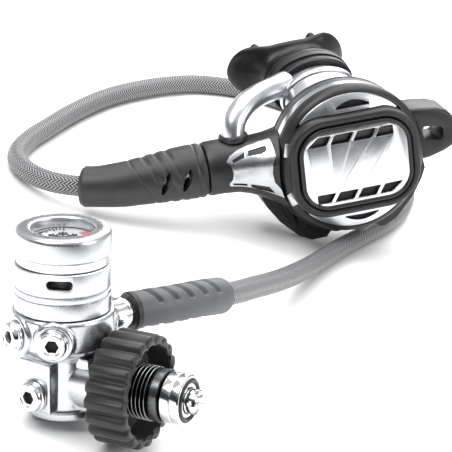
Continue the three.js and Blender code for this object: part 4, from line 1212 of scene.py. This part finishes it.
@dataclass
class SecondStage:
    """The round second stage: case, cover, purge button, valve shroud, tubes and mouthpiece."""

    button: Point2 = (55.0, 39.0)
    corner: float = 12.0
    hose_room: float = 8.45

    def build(self) -> None:
        """Make every piece of the second stage."""
        self.case()
        self.cover()
        self.crescents()
        self.purge()
        self.shroud()
        self.tubes()
        self.mouthpiece()
        self.exhaust()
        self.side_cap()

    def fixed(
        self, obj: bpy.types.Object, finish: Finish, slot: Slot, *replaces: str, place: Matrix = SECOND
    ) -> None:
        """Fit a piece that stays with the second stage."""
        fit(obj, finish, place, Body.SECOND_STAGE, slot, list(replaces))

    def case(self) -> None:
        """The silver band round the case and the grey back behind it."""
        band = turned(
            "case_band_skin",
            [(36.3, 2.8), (38.3, 2.8), (38.3, 9.8), (38.0, 10.3), (36.3, 10.3), (36.3, 2.8)],
            160,
        )
        self.fixed(soften(band, 0.3), SATIN_DISH, Slot.SATIN, "case_band", place=DISH)
        profile = [(36.3, 10.4), (38.0, 10.4), (38.0, 16.5), (36.3, 16.5), (36.3, 10.4)]
        label = turned("label_band", profile, 160)
        self.fixed(soften(label, 0.25), NYLON_GREY, Slot.GREY, place=DISH)
        profile = [(36.3, 16.9), (38.2, 16.9), (38.2, 18), (36.6, 21.4), (33, 27), (29.4, 30.4), (24, 33)]
        profile += [(14, 34.2), (3, 34.5), (3, 32.4), (22, 31), (31.2, 25.6), (36.3, 16.9)]
        back = turned("case_back_skin", profile, 160)
        mouth_port = self.oval("mouth_port", [(34, 21, -40), (34, 21, 0)])
        carve(back, moved(mouth_port, DISH.inverted() @ MOUTH_ROUND))
        soften(back, 0.5)
        self.fixed(back, NYLON_GREY, Slot.GREY, "case_back", place=DISH)
        lens = turned("case_back_boss", [(9, 33.6), (9, 35.2), (8.2, 35.8), (2, 36)], 64)
        self.fixed(soften(lens, 0.3), NYLON, Slot.PLASTIC, place=DISH)

    def oval(self, name: str, stations: Sequence[Point3], sides: int = 96) -> bpy.types.Object:
        """Loft a bar about z through ovals of (width, height, place along it).

        Args:
            name: The piece's name.
            stations: The ovals, and a last one equal to the first closes the wall on itself.
            sides: How many sides go round it.

        Returns:
            The piece, in millimetres, with its height along the second axis.
        """
        closed = stations[0] == stations[-1]
        obj = started(
            name,
            bpy.ops.mesh.primitive_circle_add,
            vertices=sides,
            radius=0.5,
            fill_type="NOTHING" if closed else "NGON",
        )
        with editing(obj):
            bpy.ops.mesh.select_all(action="SELECT")
            width, height, along = stations[0]
            bpy.ops.transform.resize(value=(width, height, 1))
            bpy.ops.transform.translate(value=(0, 0, along))
            for next_width, next_height, next_along in stations[1:]:
                move = {"value": (0, 0, next_along - along)}
                bpy.ops.mesh.extrude_region_move(TRANSFORM_OT_translate=move)
                bpy.ops.transform.resize(value=(next_width / width, next_height / height, 1))
                width, height, along = next_width, next_height, next_along
            outward()
        return obj

    def cover(self) -> None:
        """The black cover: a rolled rim, a dome with its openings and a thick bead round the button."""
        rim = [(39.1, 2.6), (39.1, -0.8), (38.5, -2.4), (37.3, -3.6), (35.6, -4.7), (29, -7.2)]
        rim += [(18, -9.4), (0, -10.2)]
        inside = [(0, -7.4), (18, -6.6), (28, -4.6), (35.2, -1.2), (36.1, 0.6), (36.1, 2.6)]
        shell = turned("cover_shell", [*rim, *inside, (39.1, 2.6)], 160)
        self.fixed_cut(shell)
        soften(shell, 0.45)
        self.fixed(shell, NYLON, Slot.PLASTIC, "cover_ring")
        bead = sheet_cut("button_bead", rounded(68.4, 52.2, 19, steps=14), -12.0, -4.4)
        carve(bead, sheet_cut("hole", rounded(60.2, 44.2, 15, steps=14), -20, 5))
        soften(bead, 1.7, 5)
        self.fixed(bead, ELASTOMER, Slot.PLASTIC)
        for x, z, tilt in ((-33.1, 11.4, 14), (-32.9, -14.8, -20)):
            outline = rounded(4.4, 7.2, 0.7, steps=4)
            chip = sheet_cut("rim_inlay", outline, dome(math.hypot(x, z)) - 0.5, dome(math.hypot(x, z)) + 1.2)
            turn = Matrix.Translation((x, 0, z)) @ Matrix.Rotation(math.radians(tilt), 4, "Y")
            self.fixed(soften(moved(chip, turn), 0.2), BLASTED_STEEL, Slot.SATIN)

    def fixed_cut(self, shell: bpy.types.Object) -> None:
        """Open the cover at the button and at the crescents, standing it up from the lathe first."""
        settle(shell, Matrix.Rotation(math.radians(-90), 4, "X"))
        carve(shell, sheet_cut("hole", rounded(60, 44, 15, steps=14), -20, 5))
        for side in (1, -1):
            carve(shell, sheet_cut("hole", self.crescent(side, 0), -20, 5))

    def crescent(self, side: int, shrink: float) -> list[Point2]:
        """The outline of the crescent above (side 1) or below (side -1) the button."""
        radius = 36.0 - shrink

        def edge(x: float) -> float:
            past = max(abs(x) - 15.2, 0)
            return 7.1 + math.sqrt(max(19.4**2 - past * past, 0)) + shrink

        tip = next(angle for angle in range(20, 90) if edge(radius * math.cos(math.radians(angle)))
                   < radius * math.sin(math.radians(angle)) - 0.9)
        outer = arc(radius, tip, 180 - tip, 30)
        reach = outer[0][0]
        inner = [(-reach * (1 - i / 15), edge(reach * (1 - i / 15))) for i in range(31)]
        outline = [*outer, *inner]
        return outline if side > 0 else [(x, -z) for x, z in outline][::-1]

    def crescents(self) -> None:
        """The blasted steel inserts, each with one vent and a near-black sheet of painted shade behind it."""
        for side, name in ((1, "upper_crescent"), (-1, "lower_crescent")):
            knots = [(18, dome(18) + 0.2), (29, dome(29) + 0.2), (35, dome(35) + 0.2), (37, dome(37) + 0.3)]
            under = [(37, dome(37) + 1.8), (29, dome(29) + 1.8), (18, dome(18) + 1.8)]
            skin = turned(name + "_skin", [*knots, *under, knots[0]], 160)
            settle(skin, Matrix.Rotation(math.radians(-90), 4, "X"))
            carve(skin, sheet_cut("outline", self.crescent(side, 0.35), -20, 5), "INTERSECT")
            top = [(2.0 + x, side * (32.4 - 0.036 * x * x)) for x in range(9, -10, -1)]
            low = [(2.0 + x, side * (28.8 - 0.002 * x * x)) for x in range(-9, 10, 1)]
            vent = top + low
            carve(skin, sheet_cut("vent", vent, -20, 5))
            soften(skin, 0.3)
            self.fixed(skin, BLASTED_STEEL, Slot.SATIN, name)
            # Painted shade: a near-black sheet behind the vent, where the inside of the case lies in shade.
            floor = sheet_cut(name + "_depth", rounded(24, 6, 2, (2.0, side * 30)), -4.0, -3.2)
            self.fixed(soften(floor, 0.2), PAINTED_SHADE, Slot.PLASTIC)

    def purge(self) -> None:
        """The button: a crowned metal plate with two rows of vents, in a soft black rim."""
        width, height = self.button
        plate = sheet_cut("purge_plate_face", rounded(width, height, self.corner, steps=12), -12.4, -10.6)
        for side in (1, -1):
            for index in range(4):
                middle = (index - 1.5) * 12.0 - 0.8
                lean = 1.5 * side
                top, low = side * 17.8, side * 12.8
                outer = 1.1 if index in (0, 3) else 0
                outline = [(middle - 5 + lean, top), (middle + 5 + lean, top)]
                outline += [(middle + 5 - lean, low), (middle - 5 - lean, low)]
                if outer:
                    sign = -1 if index == 0 else 1
                    corner = next(i for i, (x, z) in enumerate(outline[:2]) if sign * (x - middle - lean) > 0)
                    x, z = outline[corner]
                    outline[corner] = (x - sign * 3.2, z)
                if side < 0:
                    outline = outline[::-1]
                vent = sheet_cut("vent", outline, -20, 0)
                finish_modifier(vent, "BEVEL", width=0.9, segments=4, limit_method="ANGLE", affect="EDGES")
                carve(plate, vent)
        for vertex in plate.data.vertices:
            share = (2 * vertex.co.x / width) ** 2 + (2 * vertex.co.z / height) ** 2
            vertex.co.y += 0.9 * min(share, 1.4) - 1.0
        soften(plate, 0.35)
        fit(plate, SATIN_PLATE, SECOND, Body.PURGE, Slot.BRIGHT, ["purge_plate"])
        rim = sheet_cut("purge_rim_soft", rounded(59.4, 43.4, 14.7, steps=12), -12.9, -6.2)
        gap = 0.4
        outline = rounded(width + gap, height + gap, self.corner + gap / 2, steps=12)
        carve(rim, sheet_cut("hole", outline, -20, -10.2))
        soften(rim, 0.8, 4)
        fit(rim, GLOSS_ELASTOMER, SECOND, Body.PURGE, Slot.RUBBER, ["purge_rim"])

    def envelope(self) -> bpy.types.Object:
        """The outside of the case, as a tool that makes room for it."""
        profile = [(39.5, -30), (39.5, 2.8), (38.8, 2.9), (38.8, 18), (33.4, 27.4), (24, 33.6)]
        return moved(turned("case", profile, 128), Matrix.Rotation(math.radians(-90), 4, "X"))

    def shroud(self) -> None:
        """The black shroud from the hose to the case, and the waisted metal plate on its front."""
        profile = [(7.6, -74), (12.6, -74), (13.6, -73.5), (14, -72.4), (14.1, -66), (14.4, -58)]
        profile += [(15.4, -52), (17, -46), (19.4, -40), (22.4, -34), (24, -30), (7.6, -30), (7.6, -74)]
        shroud = turned("inlet_shroud_skin", profile, 128)
        settle(shroud, Matrix.Rotation(math.radians(90), 4, "Y"))
        self.flare(shroud)
        settle(shroud, Matrix.Translation((0, 12, 4.1)))
        carve(shroud, self.envelope())
        soften(shroud, 0.6)
        self.fixed(shroud, NYLON, Slot.PLASTIC, "inlet_shroud", "valve_barrel")
        skin = turned(
            "shroud_plate_skin",
            [(14.9, -68), (14.9, -60), (15.0, -58), (16, -52), (17.6, -46), (20, -40), (22.6, -35.4)]
            + [(21.4, -35)]
            + [(18.6, -40), (16.4, -46), (14.6, -52), (13.4, -58), (13.4, -68), (14.9, -68)],
            160,
        )
        settle(skin, Matrix.Rotation(math.radians(90), 4, "Y"))
        self.flare(skin)
        settle(skin, Matrix.Translation((0, 12, 4.1)))
        top = [(-62.5, 12.6), (-58, 14.4), (-52, 15.5), (-46, 16), (-40, 16.4)]
        right = [(-40, 10), (-42.2, 6.5), (-42.8, 1.5), (-42, -3.5), (-39, -8)]
        bottom = [(-37.4, -13.6), (-44, -10), (-50, -7), (-57, -4.6), (-64, -3)]
        left = [(-64.6, -1.4), (-62.6, 1), (-62, 4.6), (-62.8, 8), (-64.8, 10.2)]
        carve(skin, sheet_cut("outline", (top + right + bottom + left)[::-1], -30, 11), "INTERSECT")
        for window in self.windows():
            carve(skin, sheet_cut("window", window, -30, 11))
        soften(skin, 0.3)
        self.fixed(skin, SATIN_VALVE, Slot.SATIN, "shroud_plate")

    def windows(self) -> list[list[Point2]]:
        """The plate's four windows."""
        return [
            [(-61.6, 10.6), (-61.9, 9), (-55.4, 10.8), (-54.6, 13.2)],
            [(-52.9, 13.5), (-53.2, 11.2), (-46.2, 11.6), (-43.6, 12.8), (-43.4, 14.6)],
            [(-62.6, -1.4), (-55.6, -3), (-55.2, -4.4), (-62.4, -2.6)],
            [(-53.6, -3.6), (-44.6, -6.2), (-41.8, -10.2), (-43.2, -10), (-53.2, -5.6)],
        ]

    def flare(self, obj: bpy.types.Object) -> None:
        """Keep the shroud's top level and let its underside drop towards the exhaust."""
        for vertex in obj.data.vertices:
            share = between(vertex.co.x, -66, -31)
            vertex.co.z *= 1 - 0.4 * share if vertex.co.z > 0 else 1 + 0.25 * share

    def tubes(self) -> None:
        """The bypass tube and the oval tube that it joins."""
        route = [(-57, 12, 12.2), (-57, 12.4, 19), (-54.6, 14.6, 26), (-48, 19.6, 31), (-39, 26.5, 32.8)]
        route += [(-29.4, 34, 32.6), (-20, 39.8, 32.2)]
        path = spaced(curve_through(route, 12), 0.8)
        total = lengths(path)[-1]
        swell = lambda s, a: 6.1 + 0.9 * between(s, total - 12, total)
        tube = swept("bypass_tube_skin", path, swell, 64, lambda s, a: 4.8)
        smooth(tube, 50)
        self.fixed(tube, SATIN_TUBE, Slot.SATIN, "bypass_tube")
        profile = [(6.2, 16.6), (7.6, 16.8), (7.6, 19.2), (6.9, 20), (6.2, 20), (6.2, 16.6)]
        cuff = turned("bypass_cuff", profile, 64)
        self.fixed(soften(moved(cuff, Matrix.Translation((-57, 12.2, 0))), 0.3), NYLON, Slot.PLASTIC)
        walls = [(39.8, 26.8, -22), (39.8, 26.8, 6.6), (36, 23, 6.6), (36, 23, -22), (39.8, 26.8, -22)]
        oval = self.oval("mouthpiece_tube_skin", walls)
        envelope = turned("case", [(37.5, -30), (37.5, 18), (32, 26.4), (24, 32.2)], 128)
        carve(oval, moved(envelope, MOUTH_ROUND.inverted() @ DISH))
        soften(oval, 0.4)
        self.fixed(oval, SATIN_TUBE, Slot.SATIN, "mouthpiece_tube", place=MOUTH_ROUND)
        collar = [(41.6, 28.6, -12.6), (42.4, 29.4, -11.8), (42.4, 29.4, -9.4), (41.6, 28.6, -8.6)]
        collar += [(40, 27, -8.6)]
        flange = self.oval("mouthpiece_tube_collar", [*collar, (40, 27, -12.6), collar[0]])
        self.fixed(soften(flange, 0.2), SATIN_TUBE, Slot.SATIN, place=MOUTH_ROUND)

    def mouthpiece(self) -> None:
        """The soft mouthpiece: a sleeve with a bead, a waist, a bowed lip flange and two bite lugs."""
        outside = [(43.6, 30.6, -4.6), (45.4, 32.4, -3.8), (45.4, 32.4, 0.2), (44.4, 31.4, 0.8)]
        outside += [(44.4, 31.4, 5.2), (45.6, 32.6, 5.8), (45.4, 32.2, 8.4), (43, 29.4, 10.8)]
        outside += [(40.4, 26.4, 13), (39.2, 24.6, 16)]
        outside += [(42, 25, 18.6), (50, 26.4, 20.6), (60, 28.6, 21.6), (66, 30.4, 22.6), (67, 30.8, 23.6)]
        outside += [(66, 30.2, 24.6), (54, 26, 24.9), (40, 20, 25.2), (33, 16.4, 25.6), (30, 14.4, 26)]
        inside = [(28.4, 14.2, 24), (28, 14, 8), (31, 18, 7), (40.6, 27.6, 6.9), (40.6, 27.6, -4.6)]
        inside += [outside[0]]
        body = self.oval("mouthpiece_soft", [*outside, *inside], 128)
        for vertex in body.data.vertices:
            reach = between(vertex.co.z, 17, 22)
            wide = vertex.co.x / 30
            vertex.co.z += reach * (5.0 * wide * wide - 1.2)
            vertex.co.x -= 2.6 * reach
            square = 1 + reach * (0.42 * between(abs(wide), 0.3, 1.0) - 0.05)
            vertex.co.y *= square
            if vertex.co.x > 18:
                vertex.co.y += 0.3 * reach * (vertex.co.x - 18)
        smooth(body, 60)
        self.fixed(body, SILICONE, Slot.RUBBER, "mouthpiece", place=MOUTH_ROUND)
        for side, name in ((-1, "bite_lug_left"), (1, "bite_lug_right")):
            stations = [(7, 11, 25), (5.2, 10, 30), (4.6, 10, 35), (4.8, 12, 38), (7.6, 15, 39.4)]
            stations += [(7.8, 15, 41.4)]
            lug = self.oval(name, [*stations, (6.4, 13.4, 42.2)], 48)
            splay = Matrix.Rotation(math.radians(-6 * side), 4, "Y")
            lug = moved(lug, Matrix.Translation((side * 20.5, 0, -2)) @ splay)
            self.fixed(smooth(lug, 60), SILICONE, Slot.RUBBER, place=MOUTH_ROUND)
        band = [(45.2, 32.2, 1.4), (46.4, 33.4, 1.5), (46.4, 33.4, 4.7), (45.2, 32.2, 4.8), (45.2, 32.2, 1.4)]
        strap = self.oval("mouthpiece_tie", band)
        latch = block("latch", (6.4, 3, 4.6), (10, 16.2, 3.1))
        carve(strap, latch, "UNION")
        self.fixed(soften(strap, 0.3), NYLON, Slot.PLASTIC, "mouthpiece_clamp", place=MOUTH_ROUND)

    def exhaust(self) -> None:
        """The exhaust tee: two outlets under the case, with an arch between them."""
        side = [(4, -40.6), (8, -42), (12, -46.8), (20, -46.9), (27, -43.5), (36.4, -33.6), (42, -25)]
        side += [(44.6, -19)]
        side += [(43.6, -12), (30, -8)]
        mirror = [(-x, z) for x, z in side][::-1]
        tee = sheet_cut("exhaust_tee", [*mirror, *side][::-1], 15.8, 33)
        slope = block("slope", (120, 60, 30), (0, 30, -15))
        tilt = Matrix.Translation((0, 17, -46.8)) @ Matrix.Rotation(math.atan(0.8), 4, "X")
        carve(tee, moved(slope, tilt))
        finish_modifier(tee, "BEVEL", width=2.4, segments=4, limit_method="ANGLE", angle_limit=0.5)
        for sign in (1, -1):
            outline = [(13.4, -60), (19.4, -60), (25.6, -43), (34.4, -31.6), (41, -19.6), (30, -15)]
            outline += [(10, -30)]
            outline = [(sign * x, z) for x, z in outline]
            carve(tee, sheet_cut("outlet", outline if sign < 0 else outline[::-1], 18, 30.8))
        collar = sheet_cut("collar", arc(41.1, 195, 345, 60), 3.4, 20)
        carve(tee, collar, "UNION")
        passage = curve_through([Vector(point) - FOOTPRINT_MIDDLE for point in HOSE_ROUTE[10:16]], 6)
        carve(tee, moved(swept("passage", passage, lambda s, a: self.hose_room * MM, 32), SECOND.inverted()))
        envelope = turned("case", [(38.7, -30), (38.7, 18), (33.4, 27.3), (24, 33.5)], 128)
        carve(tee, moved(envelope, Matrix.Rotation(math.radians(-90), 4, "X")))
        soften(tee, 0.5)
        self.fixed(tee, ELASTOMER, Slot.PLASTIC, "exhaust_cover")

    def side_cap(self) -> None:
        """The open bow that closes the valve's free end, ribbed across its edge."""
        outline = [(32, -10), (44, -9), (52, -6.8), (56.6, -4.6), (58.2, -2.4), (58.6, 0), (58.6, 6)]
        outline += [(57.4, 11.4), (54.4, 15), (49, 17.2), (40, 18.4), (32, 19)]
        bow = sheet_cut("side_bow", outline[::-1], 1.5, 22.5)
        finish_modifier(bow, "BEVEL", width=2.2, segments=4, limit_method="ANGLE", angle_limit=0.9)
        opening = [(41, 1.6), (49.4, -0.2), (51.4, 0.8), (51.6, 5.6), (50, 7.4), (41.6, 8.4), (40.2, 7.2)]
        carve(bow, sheet_cut("window", opening, -5, 30))
        carve(bow, self.envelope())
        for rib in range(4):
            groove = block("groove", (1.1, 40, 1.3), (58.8 - 0.5 * rib, 12, -0.4 + 3.2 * rib))
            carve(bow, groove)
        soften(bow, 0.4)
        self.fixed(bow, NYLON, Slot.PLASTIC, "side_cap")


def main() -> None:
    """Build the studio, the hose and the two stages."""
    logging.basicConfig(level=logging.INFO, format="%(message)s")
    Studio().build()
    Hose().build()
    FirstStage().build()
    SecondStage().build()


if __name__ == "__main__":
    main()
    sizes = {"cad": CAD_BOX, "visual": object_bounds()}
    {name: [list(corner) for corner in box] for name, box in sizes.items()}
